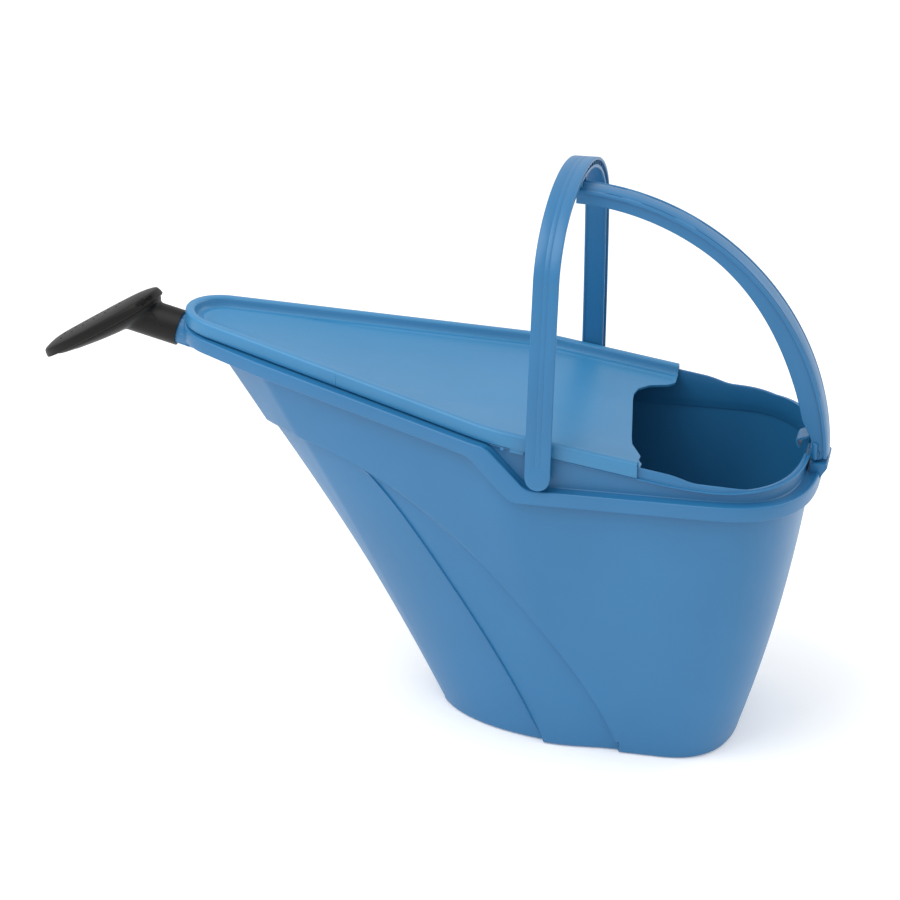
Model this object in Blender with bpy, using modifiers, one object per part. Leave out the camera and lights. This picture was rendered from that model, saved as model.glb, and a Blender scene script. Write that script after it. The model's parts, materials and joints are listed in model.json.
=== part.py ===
"""Watering can: bucket body with a nose and spout stub, clip-on deck, carrying bail,
pouring arm hinged on the rear rim, and a pull-off rose in two pieces.

Metres, +Z up. +X runs to the rear (the filling mouth), -X to the spout. Z = 0 is under the
base, and X = 0, Y = 0 is the middle of the whole can.
"""
import math

import bmesh
import bpy
from mathutils import Matrix, Vector

# ---- plan of the rim -------------------------------------------------------------------
RIM_HALF_WIDTH = 0.117      # deck rim, along its parallel stretch
NOSE_CENTRE_X = -0.169      # centre of the round nose
NOSE_RADIUS = 0.040
TAPER_END_X = 0.077         # where the sides stop tapering
REAR_CORNER_X = 0.245       # where the rear end starts to round
REAR_END_X = 0.3262         # rearmost point of the rim
REAR_POWER = 2.7            # squareness of the rear end
DECK_REAR_X = 0.198         # rear end of the deck rim
NOSE_STEPS = 8              # stations round the nose, after the first
TAPER_XS = (-0.135, -0.100, -0.060, -0.020, 0.020, 0.055, 0.066)
PARALLEL_XS = (0.077, 0.088, 0.098, 0.110, 0.130, 0.160, DECK_REAR_X, 0.222)
REAR_STEPS = 12             # stations round the rear end, after the first
FRONT_LAST = 17             # the station over the widest point of the base's oval front

# ---- heights ---------------------------------------------------------------------------
DECK_Z0 = 0.3079            # deck rim top at X = 0
DECK_SLOPE = -0.1576        # the deck rises toward the nose
LIP_DROP = 0.008            # rim of the body below the deck rim top
LIP_FLAT_Z = 0.2615         # rim of the body round the mouth
LEDGE_FLAT_Z = 0.2485
LEDGE_DROP = 0.014
DIP_SLOPE = -1.04           # how steeply ledge and band drop ahead of the bail
LEDGE_DIP_X = 0.0785
BAND_DROP = 0.026
BAND_FLAT_Z = 0.2365
BAND_DIP_X = 0.0640

# ---- base ------------------------------------------------------------------------------
BASE_MID_X = 0.150          # end of the oval front of the base
BASE_FRONT = 0.136          # from there to the front tip
BASE_HALF_WIDTH = 0.087
BASE_STRAIGHT_END_X = 0.215
BASE_REAR = 0.061
BASE_EDGE_RADIUS = 0.004

# ---- walls -----------------------------------------------------------------------------
WALL = 0.0024
NECK_INSET = 0.0035
LIP_INSET = 0.0030
BAND_OUT = 0.008
WALL_INSET = 0.0010
NOSE_FLOOR_INSET = 0.0230   # the wall starts this far behind the tip of the nose
NOSE_FACE_X = -0.130        # the nose widens ahead of this
NOSE_FACE_RUN = 0.079
NOSE_BOW = 0.017            # front wall bows in
SIDE_BOW = 0.006            # other walls bow out
GAP = 0.0003                # between touching pieces

# ---- deck ------------------------------------------------------------------------------
DECK_SKIN = 0.0022
DECK_PROFILE = ((0.0, 0.0120), (0.0, 0.0020), (0.0016, 0.0), (0.0060, 0.0),
                (0.0078, 0.0018), (0.0092, 0.0075))     # inset and drop of skirt and rim
PANEL_INSET = 0.0150        # the panel starts this far inside the rim
PANEL_START_DROP = 0.0085
PANEL_PROFILE = ((0.12, 0.0095), (0.35, 0.0112), (0.65, 0.0125), (1.0, 0.0130))
PANEL_NOSE_X = -0.050       # ahead of this the panel gets shallower
PANEL_EDGE_X = 0.1755       # free rear edge of the panel, in the middle
PANEL_EDGE_Y = 0.045        # half-width of that straight edge
PANEL_EDGE_CORNER = 0.045   # width over which it sweeps back at each side
PANEL_BEND_X = 0.130        # ahead of this the panel is laid out square to the sides

# ---- bail and arm ----------------------------------------------------------------------
BAIL_X = 0.120
BAIL_Z = 0.2603
BAIL_LEAN = 0.0165
BAIL_FOOT_Y = 0.1285        # outer face at the pivot
BAIL_SHOULDER_Y = 0.117
BAIL_SHOULDER_H = 0.155
BAIL_TAPER_POWER = 1.6      # the legs lean in more toward the shoulders
BAIL_LEG_PART = 0.42        # share of each half that is leg
BAIL_TOP_H = 0.2222
BAIL_WIDTH = 0.022
BAIL_DEPTH = 0.0080
BAIL_INNER_WIDTH = 0.018
BAIL_SKIN = 0.0026
BAIL_INNER_SKIN = 0.0020
BAIL_WEB = 0.0030
FOOT_RADIUS = 0.0108
PIN_RADIUS = 0.0030
PIN_HEAD_RADIUS = 0.0055
PIN_HEAD_THICKNESS = 0.0022
RUN_CLEARANCE = 0.0003
PIN_COVER = 0.0022          # skin left over the blind holes in the feet

ARM_TOP_RADIUS = 0.2060     # outer face of the arm, from the bail's pivot
CATCH_X = BAIL_X + 0.0070   # middle of the catch pin
CATCH_Z = BAIL_Z + ARM_TOP_RADIUS + 0.0038
CATCH_HALF_LENGTH = 0.0130
CATCH_RADIUS = 0.0015
CATCH_LUG_Y = 0.0100
CATCH_LUG_HALF = 0.0012
CATCH_LUG_REACH = 0.0040
CATCH_LUG_DROP = 0.0030
ARM_FOOT_GROW = 0.0120
ARM_START_DEG = -1.8
ARM_END_DEG = 88.0
ARM_DEPTH = 0.0118
ARM_SKIN = 0.0026
ARM_WALL = 0.0022
ARM_HALF_WIDTH = 0.0125
ARM_FOOT_HALF_WIDTH = 0.0155
ARM_FLANGE = 0.0022
HINGE_X = 0.3300
HINGE_Z = 0.2570
HINGE_PIN_RADIUS = 0.0024
LUG_HALF_WIDTH = 0.0116
LUG_RADIUS = 0.0042
CHEEK_RADIUS = 0.0060

# ---- hinge bracket behind the rear rim -------------------------------------------------
BRACKET_FRONT_X = 0.3255
BRACKET_REAR_X = 0.3397
BRACKET_HALF_WIDTH = 0.0200
BRACKET_TOP_Z = 0.2493
BRACKET_LOW_Z = 0.2370
BRACKET_CUT_X = 0.0057      # its lower corner is cut back by this much
BRACKET_CUT_Z = 0.0092
NOTCH_LOW = (0.3150, -BRACKET_HALF_WIDTH, 0.2512)
NOTCH_HIGH = (0.3257, BRACKET_HALF_WIDTH, 0.2700)

# ---- spout and rose --------------------------------------------------------------------
SPOUT_X = -0.200            # a point on the spout's axis
SPOUT_Z = 0.3124
SPOUT_RISE_DEG = 14.2
STUB_RADIUS = 0.0135
STUB_BORE = 0.0112
STUB_ROOT = 0.024           # how far the stub reaches back into the nose
STUB_TIP = 0.036            # along the axis, from the point above
SOCKET_START = 0.0165       # mouth of the rose's socket
SOCKET_END = 0.0386         # shoulder at the bottom of the socket
SOCKET_RADIUS = 0.0141
SOCKET_OUTER_RADIUS = 0.0156
SEAL_THICKNESS = 0.0020
ELBOW_BORE = 0.0118
ROSE_LENGTH = 0.121
ROSE_HALF_WIDTH = 0.0265
ROSE_TILT_DEG = 30.8
ROSE_MID_X = -0.2850
ROSE_MID_Z = 0.3128
PLATE_HEIGHT = 0.0088
PLATE_SKIN = 0.0022
TRAY_DEPTH = 0.0100
HOLE_RADIUS = 0.0009
HOLE_ROWS = (-0.012, 0.0, 0.012)
HOLE_COUNT = 7
HOLE_PITCH = 0.0125
HOLE_SHIFT = -0.004

PARTS = "watering_can"
CUTTERS = "cutters"

BLUE = (0.070, 0.217, 0.435, 1.0)
PANEL_BLUE = (0.105, 0.305, 0.565, 1.0)
CHARCOAL = (0.045, 0.045, 0.042, 1.0)
SEAL_BLACK = (0.02, 0.02, 0.02, 1.0)

SPOUT_AXIS = Vector((-math.cos(math.radians(SPOUT_RISE_DEG)), 0.0,
                     math.sin(math.radians(SPOUT_RISE_DEG))))
SPOUT_POINT = Vector((SPOUT_X, 0.0, SPOUT_Z))


# ---- scene helpers ---------------------------------------------------------------------
def clear_scene():
    for obj in list(bpy.data.objects):
        bpy.data.objects.remove(obj, do_unlink=True)


def collection(name):
    group = bpy.data.collections.new(name)
    bpy.context.scene.collection.children.link(group)
    return group


def plastic(name, colour, roughness):
    mat = bpy.data.materials.new(name)
    mat.use_nodes = True
    shader = mat.node_tree.nodes["Principled BSDF"]
    shader.inputs["Base Color"].default_value = colour
    shader.inputs["Roughness"].default_value = roughness
    shader.inputs["Metallic"].default_value = 0.0
    mat.diffuse_color = colour
    return mat


def add_object(name, mesh, group, origin=(0.0, 0.0, 0.0)):
    """Link a mesh given in world coordinates, with its origin moved to a chosen point."""
    mesh.transform(Matrix.Translation(-Vector(origin)))
    obj = bpy.data.objects.new(name, mesh)
    obj.location = origin
    bpy.data.collections[group].objects.link(obj)
    return obj


def finish_part(obj, mat, sharp_deg=35.0):
    obj.data.materials.clear()
    obj.data.materials.append(mat)
    obj.data.shade_smooth()
    obj.data.set_sharp_from_angle(angle=math.radians(sharp_deg))
    return obj


def mesh_from_grid(name, rows, flip=False):
    """Quads between neighbouring rows of points; points that coincide are merged."""
    bm = bmesh.new()
    grid = [[bm.verts.new(point) for point in row] for row in rows]
    for near, far in zip(grid, grid[1:]):
        for i in range(len(near) - 1):
            quad = [near[i], near[i + 1], far[i + 1], far[i]]
            bm.faces.new(reversed(quad) if flip else quad)
    bmesh.ops.remove_doubles(bm, verts=bm.verts, dist=1e-6)
    mesh = bpy.data.meshes.new(name)
    bm.to_mesh(mesh)
    bm.free()
    return mesh


def mesh_from_sweep(name, sections):
    """A closed body through a list of equal closed sections, with flat ends."""
    bm = bmesh.new()
    rings = [[bm.verts.new(point) for point in section] for section in sections]
    count = len(rings[0])
    for near, far in zip(rings, rings[1:]):
        for i in range(count):
            j = (i + 1) % count
            bm.faces.new((near[i], near[j], far[j], far[i]))
    bm.faces.new(reversed(rings[0]))
    bm.faces.new(rings[-1])
    bmesh.ops.recalc_face_normals(bm, faces=bm.faces)
    mesh = bpy.data.meshes.new(name)
    bm.to_mesh(mesh)
    bm.free()
    return mesh


def cylinder_mesh(name, start, end, radius, sides, end_radius=None):
    """A closed cylinder or cone between two points."""
    axis = Vector(end) - Vector(start)
    turn = axis.to_track_quat("Z", "Y").to_matrix().to_4x4()
    place = Matrix.Translation((Vector(start) + Vector(end)) / 2) @ turn
    bm = bmesh.new()
    bmesh.ops.create_cone(bm, cap_ends=True, segments=sides, radius1=radius,
                          radius2=radius if end_radius is None else end_radius,
                          depth=axis.length, matrix=place)
    mesh = bpy.data.meshes.new(name)
    bm.to_mesh(mesh)
    bm.free()
    return mesh


def box_mesh(name, low, high):
    low = Vector(low)
    high = Vector(high)
    size = high - low
    place = Matrix.Translation((low + high) / 2) @ Matrix.Diagonal((*size, 1.0))
    bm = bmesh.new()
    bmesh.ops.create_cube(bm, size=1.0, matrix=place)
    mesh = bpy.data.meshes.new(name)
    bm.to_mesh(mesh)
    bm.free()
    return mesh


def add_tool(name, mesh):
    """A guide or cutter that shapes a part and isn't one itself."""
    tool = add_object(name, mesh, CUTTERS)
    tool.hide_render = True
    tool.display_type = "WIRE"
    return tool


def boolean(obj, tool, operation):
    mod = obj.modifiers.new(tool.name, "BOOLEAN")
    mod.operation = operation
    mod.object = tool
    mod.solver = "EXACT"
    return mod


def mirror_across_y(obj):
    mod = obj.modifiers.new("both_sides", "MIRROR")
    mod.use_axis = (False, True, False)
    mod.merge_threshold = 0.0001
    return mod


def thicken(obj, thickness):
    mod = obj.modifiers.new("wall", "SOLIDIFY")
    mod.thickness = thickness
    mod.offset = -1.0
    mod.use_even_offset = True
    return mod


# ---- heights along the rim -------------------------------------------------------------
def deck_z(x):
    return DECK_Z0 + DECK_SLOPE * x


def lip_z(x):
    return max(deck_z(x) - LIP_DROP, LIP_FLAT_Z)


def dipped(x, drop, flat_z, dip_x):
    """Parallel to the deck in front, then down a slope to a level stretch."""
    front = deck_z(x) - drop
    slope = deck_z(dip_x) - drop + DIP_SLOPE * (x - dip_x)
    return min(front, max(flat_z, slope))


def ledge_z(x):
    return dipped(x, LEDGE_DROP, LEDGE_FLAT_Z, LEDGE_DIP_X)


def band_z(x):
    return dipped(x, BAND_DROP, BAND_FLAT_Z, BAND_DIP_X)


# ---- outlines --------------------------------------------------------------------------
def taper_angle():
    """Angle of the tapering sides to the X axis."""
    run = TAPER_END_X - NOSE_CENTRE_X
    reach = math.hypot(run, RIM_HALF_WIDTH)
    return math.atan2(RIM_HALF_WIDTH, run) - math.asin(NOSE_RADIUS / reach)


def rim_stations():
    """Points and outward normals of half the rim (Y < 0), from nose tip to rear end."""
    taper = taper_angle()
    last = math.pi / 2 - taper
    stations = []
    for i in range(NOSE_STEPS + 1):
        turn = last * i / NOSE_STEPS
        normal = (-math.cos(turn), -math.sin(turn))
        stations.append((NOSE_CENTRE_X + NOSE_RADIUS * normal[0], NOSE_RADIUS * normal[1], normal))
    start = stations[-1]
    for x in TAPER_XS:
        y = start[1] - (x - start[0]) * math.tan(taper)
        stations.append((x, y, start[2]))
    for x in PARALLEL_XS:
        stations.append((x, -RIM_HALF_WIDTH, (0.0, -1.0)))
    for i in range(REAR_STEPS + 1):
        turn = math.pi / 2 * i / REAR_STEPS
        stations.append(rear_station(turn, REAR_CORNER_X, REAR_END_X - REAR_CORNER_X,
                                     RIM_HALF_WIDTH))
    return stations


def rear_station(turn, centre_x, reach, half_width):
    """A point of the rounded rear end, a superellipse, and its outward normal."""
    power = 2.0 / REAR_POWER
    x = centre_x + reach * math.sin(turn) ** power
    y = -half_width * max(math.cos(turn), 0.0) ** power
    nx = (max(x - centre_x, 0.0) / reach) ** (REAR_POWER - 1.0) / reach
    ny = -(abs(y) / half_width) ** (REAR_POWER - 1.0) / half_width
    size = math.hypot(nx, ny)
    return (x, y, (nx / size, ny / size))


def inset(station, distance):
    """Move a rim point inward along its normal."""
    x, y, normal = station
    return (x - normal[0] * distance, min(y - normal[1] * distance, 0.0))


def base_point(index, count, stations):
    """The base point under rim station index."""
    rear_first = count - REAR_STEPS - 1
    if index <= FRONT_LAST:
        turn = math.pi / 2 * front_share(index, stations)
        return (BASE_MID_X - BASE_FRONT * math.cos(turn), -BASE_HALF_WIDTH * math.sin(turn))
    if index < rear_first:
        share = (stations[index][0] - stations[FRONT_LAST][0])
        share /= stations[rear_first][0] - stations[FRONT_LAST][0]
        x = BASE_MID_X + (BASE_STRAIGHT_END_X - BASE_MID_X) * share
        return (x, -BASE_HALF_WIDTH)
    turn = math.pi / 2 * (index - rear_first) / REAR_STEPS
    x, y, _ = rear_station(turn, BASE_STRAIGHT_END_X, BASE_REAR, BASE_HALF_WIDTH)
    return (x, y)


def front_share(index, stations):
    """Share of the way along the front of the rim, by length."""
    front = stations[:FRONT_LAST + 1]
    lengths = [math.dist(a[:2], b[:2]) for a, b in zip(front, front[1:])]
    return sum(lengths[:index]) / sum(lengths)


def nose_weight(x):
    """1 at the tip of the nose, falling to 0 where the taper is under way."""
    return min(max((NOSE_FACE_X - x) / NOSE_FACE_RUN, 0.0), 1.0)


# ---- body ------------------------------------------------------------------------------
def body_sections():
    """For each rim station, the body's outer face from the middle of the base to the lip."""
    stations = rim_stations()
    count = len(stations)
    sections = []
    for index, station in enumerate(stations):
        x, _, normal = station
        nose = nose_weight(x)
        foot = Vector((*base_point(index, count, stations), 0.0))
        top_inset = WALL_INSET + NOSE_FLOOR_INSET * nose
        top_xy = inset(station, top_inset)
        top = Vector((*top_xy, band_z(x)))
        bow = SIDE_BOW
        if index <= FRONT_LAST:
            bow -= (SIDE_BOW + NOSE_BOW) * (1 - front_share(index, stations))
        middle = Vector((BASE_MID_X, 0.0, 0.0))
        inner = middle + (foot - middle) * 0.5
        edge = middle + (foot - middle) * (1 - 2 * BASE_EDGE_RADIUS / BASE_HALF_WIDTH)
        section = [middle, inner, edge]
        section.append(foot + Vector((0.0, 0.0, BASE_EDGE_RADIUS)))
        for level in (0.2, 0.4, 0.6, 0.8):
            point = foot.lerp(top, level)
            push = bow * 4 * level * (1 - level)
            point.x += normal[0] * push
            point.y += normal[1] * push
            point.y = min(point.y, 0.0)
            section.append(point)
        section.append(top)
        out = BAND_OUT * (1 - 0.75 * nose)
        section.append(Vector((*inset(station, -out), band_z(x))))
        section.append(Vector((*inset(station, -out), ledge_z(x))))
        section.append(Vector((*inset(station, NECK_INSET), ledge_z(x))))
        section.append(Vector((*inset(station, LIP_INSET), lip_z(x))))
        sections.append(section)
    return sections


def make_body(mat):
    mesh = mesh_from_grid("can_body", body_sections(), flip=True)
    body = add_object("can_body", mesh, PARTS)
    mirror_across_y(body)
    thicken(body, WALL)
    stub = cylinder_mesh("stub", SPOUT_POINT - SPOUT_AXIS * STUB_ROOT,
                         SPOUT_POINT + SPOUT_AXIS * STUB_TIP, STUB_RADIUS, 28)
    boolean(body, add_tool("stub", stub), "UNION")
    bore = cylinder_mesh("bore", SPOUT_POINT - SPOUT_AXIS * (STUB_ROOT + 0.015),
                         SPOUT_POINT + SPOUT_AXIS * (STUB_TIP + 0.010), STUB_BORE, 28)
    boolean(body, add_tool("bore", bore), "DIFFERENCE")
    boolean(body, add_tool("bracket", bracket_mesh()), "UNION")
    low = (HINGE_X - LUG_RADIUS, -LUG_HALF_WIDTH, LEDGE_FLAT_Z - 0.0010)
    high = (HINGE_X + LUG_RADIUS, LUG_HALF_WIDTH, HINGE_Z)
    boolean(body, add_tool("lug", box_mesh("lug", low, high)), "UNION")
    lug_top = cylinder_mesh("lug_top", (HINGE_X, -LUG_HALF_WIDTH, HINGE_Z),
                            (HINGE_X, LUG_HALF_WIDTH, HINGE_Z), LUG_RADIUS, 24)
    boolean(body, add_tool("lug_top", lug_top), "UNION")
    boolean(body, add_tool("lip_notch", box_mesh("lip_notch", NOTCH_LOW, NOTCH_HIGH)),
            "DIFFERENCE")
    pin_hole = cylinder_mesh("pin_hole", (HINGE_X, -0.03, HINGE_Z), (HINGE_X, 0.03, HINGE_Z),
                             HINGE_PIN_RADIUS + GAP, 20)
    boolean(body, add_tool("pin_hole", pin_hole), "DIFFERENCE")
    cross = cylinder_mesh("bail_holes", (BAIL_X, -0.15, BAIL_Z), (BAIL_X, 0.15, BAIL_Z),
                          PIN_RADIUS + GAP, 20)
    boolean(body, add_tool("bail_holes", cross), "DIFFERENCE")
    return finish_part(body, mat)


def bracket_mesh():
    """The block behind the rear rim, its lower corner cut back to the band."""
    outline = [(BRACKET_FRONT_X, BRACKET_LOW_Z), (BRACKET_REAR_X - BRACKET_CUT_X, BRACKET_LOW_Z),
               (BRACKET_REAR_X, BRACKET_LOW_Z + BRACKET_CUT_Z), (BRACKET_REAR_X, BRACKET_TOP_Z),
               (BRACKET_FRONT_X, BRACKET_TOP_Z)]
    ends = (-BRACKET_HALF_WIDTH, BRACKET_HALF_WIDTH)
    return mesh_from_sweep("bracket", [[Vector((x, y, z)) for x, z in outline] for y in ends])


# ---- deck ------------------------------------------------------------------------------
def panel_edge_x(y):
    """Rear edge of the panel: straight in the middle, sweeping back at both sides."""
    over = min(max((abs(y) - PANEL_EDGE_Y) / PANEL_EDGE_CORNER, 0.0), 1.0)
    return PANEL_EDGE_X + (DECK_REAR_X - PANEL_EDGE_X) * over * over


def panel_point(x, y, drop):
    """A point of the panel, shallower at the nose; its rear edge is drawn forward."""
    drop *= 1.0 - 0.2 * min(max((PANEL_NOSE_X - x) / 0.10, 0.0), 1.0)
    if x > PANEL_BEND_X:
        share = (x - PANEL_BEND_X) / (DECK_REAR_X - PANEL_BEND_X)
        x = PANEL_BEND_X + (panel_edge_x(y) - PANEL_BEND_X) * share
    return Vector((x, y, deck_z(x) - drop))


def deck_sections():
    """For each rim station, the deck's outer face from the skirt's edge to the middle."""
    sections = []
    stations = [s for s in rim_stations() if s[0] <= DECK_REAR_X + 1e-6 and s[2][0] <= 1e-9]
    for station in stations:
        section = []
        for move, drop in DECK_PROFILE:
            px, py = inset(station, move)
            section.append(Vector((px, py, deck_z(px) - drop)))
        ledge = inset(station, PANEL_INSET)
        section.append(panel_point(ledge[0], ledge[1], PANEL_START_DROP))
        spine_x = max(ledge[0], NOSE_CENTRE_X - 0.010)
        for share, drop in PANEL_PROFILE:
            px = ledge[0] + (spine_x - ledge[0]) * share
            py = ledge[1] * (1 - share)
            section.append(panel_point(px, py, drop))
        sections.append(section)
    return sections


def make_deck(mat):
    mesh = mesh_from_grid("deck_cover", deck_sections(), flip=True)
    deck = add_object("deck_cover", mesh, PARTS)
    mirror_across_y(deck)
    thicken(deck, DECK_SKIN)
    return finish_part(deck, mat)


# ---- bail ------------------------------------------------------------------------------
def bail_frame(share):
    """Outer-face point, inward direction of the bail's arch; share runs foot to foot."""
    side = -1.0 if share < 0.5 else 1.0
    along = share * 2 if share < 0.5 else (1 - share) * 2
    if along < BAIL_LEG_PART:
        t = along / BAIL_LEG_PART
        y = BAIL_FOOT_Y + (BAIL_SHOULDER_Y - BAIL_FOOT_Y) * t ** BAIL_TAPER_POWER
        h = BAIL_SHOULDER_H * t
        lean = BAIL_TAPER_POWER * t ** (BAIL_TAPER_POWER - 1)
        slope = Vector(((BAIL_SHOULDER_Y - BAIL_FOOT_Y) * lean, BAIL_SHOULDER_H)).normalized()
        inward = Vector((-slope.y, slope.x))
    else:
        turn = math.pi / 2 * (along - BAIL_LEG_PART) / (1 - BAIL_LEG_PART)
        rise = BAIL_TOP_H - BAIL_SHOULDER_H
        y = BAIL_SHOULDER_Y * math.cos(turn)
        h = BAIL_SHOULDER_H + rise * math.sin(turn)
        out = Vector((math.cos(turn) / BAIL_SHOULDER_Y, math.sin(turn) / rise)).normalized()
        inward = -out
    centre = Vector((BAIL_X + BAIL_LEAN * h, side * y, BAIL_Z + h))
    return centre, Vector((0.0, side * inward.x, inward.y))


def bail_section(share):
    """The bail's cross-section: an outer strap, a web and an inner strap."""
    centre, inward = bail_frame(share)
    half = BAIL_WIDTH / 2
    inner = BAIL_INNER_WIDTH / 2
    web = BAIL_WEB / 2
    deep = BAIL_DEPTH
    rise = deep - BAIL_INNER_SKIN
    profile = [(-half, 0.0), (half, 0.0), (half, BAIL_SKIN), (web, BAIL_SKIN),
               (web, rise), (inner, rise), (inner, deep), (-inner, deep),
               (-inner, rise), (-web, rise), (-web, BAIL_SKIN), (-half, BAIL_SKIN)]
    return [centre + Vector((x, 0.0, 0.0)) + inward * d for x, d in profile]


def make_bail(mat):
    count = 40
    sections = [bail_section(i / count) for i in range(count + 1)]
    mesh = mesh_from_sweep("bail", sections)
    pivot = (BAIL_X, 0.0, BAIL_Z)
    bail = add_object("bail", mesh, PARTS, origin=pivot)
    for name, side in (("near", -1.0), ("far", 1.0)):
        inner = side * (BAIL_FOOT_Y - BAIL_DEPTH)
        disc = cylinder_mesh("foot_" + name, (BAIL_X, inner, BAIL_Z),
                             (BAIL_X, side * BAIL_FOOT_Y, BAIL_Z), FOOT_RADIUS, 32)
        boolean(bail, add_tool("foot_" + name, disc), "UNION")
        hole = cylinder_mesh("socket_" + name, (BAIL_X, side * 0.110, BAIL_Z),
                             (BAIL_X, side * (BAIL_FOOT_Y - PIN_COVER), BAIL_Z),
                             PIN_RADIUS + RUN_CLEARANCE, 20)
        boolean(bail, add_tool("socket_" + name, hole), "DIFFERENCE")
    for side in (-1.0, 1.0):
        name = "catch_" + ("near" if side < 0 else "far")
        middle = side * CATCH_LUG_Y
        low = (CATCH_X - CATCH_LUG_REACH, middle - CATCH_LUG_HALF, CATCH_Z - CATCH_LUG_DROP)
        high = (CATCH_X + CATCH_LUG_REACH, middle + CATCH_LUG_HALF,
                BAIL_Z + BAIL_TOP_H - BAIL_DEPTH + 0.0005)
        boolean(bail, add_tool(name, box_mesh(name, low, high)), "UNION")
    catch_hole = cylinder_mesh("catch_hole", (CATCH_X, -0.02, CATCH_Z), (CATCH_X, 0.02, CATCH_Z),
                               CATCH_RADIUS + GAP, 16)
    boolean(bail, add_tool("catch_hole", catch_hole), "DIFFERENCE")
    return finish_part(bail, mat)


def make_bail_pins(mat):
    for name, side in (("bail_pin_near", -1.0), ("bail_pin_far", 1.0)):
        head = side * (RIM_HALF_WIDTH - NECK_INSET - WALL - GAP * 2)
        shaft = cylinder_mesh(name, (BAIL_X, head - side * PIN_HEAD_THICKNESS / 2, BAIL_Z),
                              (BAIL_X, side * (BAIL_FOOT_Y - PIN_COVER - 0.0004), BAIL_Z),
                              PIN_RADIUS, 20)
        pin = add_object(name, shaft, PARTS)
        cap = cylinder_mesh(name + "_head", (BAIL_X, head - side * PIN_HEAD_THICKNESS, BAIL_Z),
                            (BAIL_X, head, BAIL_Z), PIN_HEAD_RADIUS, 20)
        boolean(pin, add_tool(name + "_head", cap), "UNION")
        finish_part(pin, mat)


def make_catch_pin(mat):
    mesh = cylinder_mesh("catch_pin", (CATCH_X, -CATCH_HALF_LENGTH, CATCH_Z),
                         (CATCH_X, CATCH_HALF_LENGTH, CATCH_Z), CATCH_RADIUS, 16)
    return finish_part(add_object("catch_pin", mesh, PARTS), mat)


# ---- pouring arm -----------------------------------------------------------------------
def arm_section(angle_deg):
    """Channel section of the arm at an angle round the bail's pivot, 0 at the rear."""
    turn = math.radians(angle_deg)
    share = max(0.0, (90.0 - angle_deg) / 90.0)
    radius = ARM_TOP_RADIUS + ARM_FOOT_GROW * share ** 2.2
    half = ARM_HALF_WIDTH + (ARM_FOOT_HALF_WIDTH - ARM_HALF_WIDTH) * share ** 2
    wide = half + ARM_FLANGE
    thin = half - ARM_WALL
    out = Vector((math.cos(turn), 0.0, math.sin(turn)))
    centre = Vector((BAIL_X, 0.0, BAIL_Z))
    profile = [(-wide, 0.0), (wide, 0.0), (wide, ARM_SKIN), (half, ARM_SKIN),
               (half, ARM_DEPTH), (thin, ARM_DEPTH), (thin, ARM_SKIN), (-thin, ARM_SKIN),
               (-thin, ARM_DEPTH), (-half, ARM_DEPTH), (-half, ARM_SKIN), (-wide, ARM_SKIN)]
    return [centre + out * (radius - d) + Vector((0.0, y, 0.0)) for y, d in profile]


def make_arm(mat):
    count = 26
    step = (ARM_END_DEG - ARM_START_DEG) / count
    sections = [arm_section(ARM_START_DEG + step * i) for i in range(count + 1)]
    mesh = mesh_from_sweep("pour_arm", sections)
    arm = add_object("pour_arm", mesh, PARTS, origin=(HINGE_X, 0.0, HINGE_Z))
    outer = ARM_FOOT_HALF_WIDTH
    for name, side in (("near", -1.0), ("far", 1.0)):
        cheek = cylinder_mesh("cheek_" + name, (HINGE_X, side * (outer - ARM_WALL), HINGE_Z),
                              (HINGE_X, side * outer, HINGE_Z), CHEEK_RADIUS, 24)
        boolean(arm, add_tool("cheek_" + name, cheek), "UNION")
    hole = cylinder_mesh("arm_hole", (HINGE_X, -0.03, HINGE_Z), (HINGE_X, 0.03, HINGE_Z),
                         HINGE_PIN_RADIUS + RUN_CLEARANCE, 20)
    boolean(arm, add_tool("arm_hole", hole), "DIFFERENCE")
    return finish_part(arm, mat)


def make_arm_pin(mat):
    half = ARM_FOOT_HALF_WIDTH + 0.0012
    mesh = cylinder_mesh("arm_hinge_pin", (HINGE_X, -half, HINGE_Z), (HINGE_X, half, HINGE_Z),
                         HINGE_PIN_RADIUS, 20)
    return finish_part(add_object("arm_hinge_pin", mesh, PARTS), mat)


# ---- rose ------------------------------------------------------------------------------
def rose_outline(scale_in, height, count=32):
    """Ring of the rose's long oval, shrunk by scale_in and raised along its own normal."""
    tilt = math.radians(ROSE_TILT_DEG)
    along = Vector((math.cos(tilt), 0.0, math.sin(tilt)))
    normal = Vector((-math.sin(tilt), 0.0, math.cos(tilt)))
    centre = Vector((ROSE_MID_X, 0.0, ROSE_MID_Z))
    ring = []
    for i in range(count):
        turn = 2 * math.pi * i / count
        c = math.cos(turn)
        s = math.sin(turn)
        u = (ROSE_LENGTH / 2 - scale_in) * math.copysign(abs(c) ** 0.9, c)
        v = (ROSE_HALF_WIDTH - scale_in) * math.copysign(abs(s) ** 0.75, s)
        v *= 1.0 + 0.10 * c
        ring.append(centre + along * u + Vector((0.0, v, 0.0)) + normal * height)
    return ring


def make_rose_plate(mat):
    """The perforated face: a shallow cap that clips over the tray."""
    sections = [rose_outline(0.0022, 0.0), rose_outline(0.0, 0.0), rose_outline(0.0004, 0.0060),
                rose_outline(0.0040, PLATE_HEIGHT), rose_outline(0.0200, PLATE_HEIGHT + 0.0012),
                rose_outline(0.0200, PLATE_HEIGHT + 0.0012 - PLATE_SKIN),
                rose_outline(0.0052, PLATE_HEIGHT - PLATE_SKIN), rose_outline(0.0026, 0.0050)]
    mesh = rose_shell_mesh("rose_plate", sections)
    plate = add_object("rose_plate", mesh, PARTS)
    boolean(plate, add_tool("rose_holes", hole_mesh()), "DIFFERENCE")
    return finish_part(plate, mat)


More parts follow.
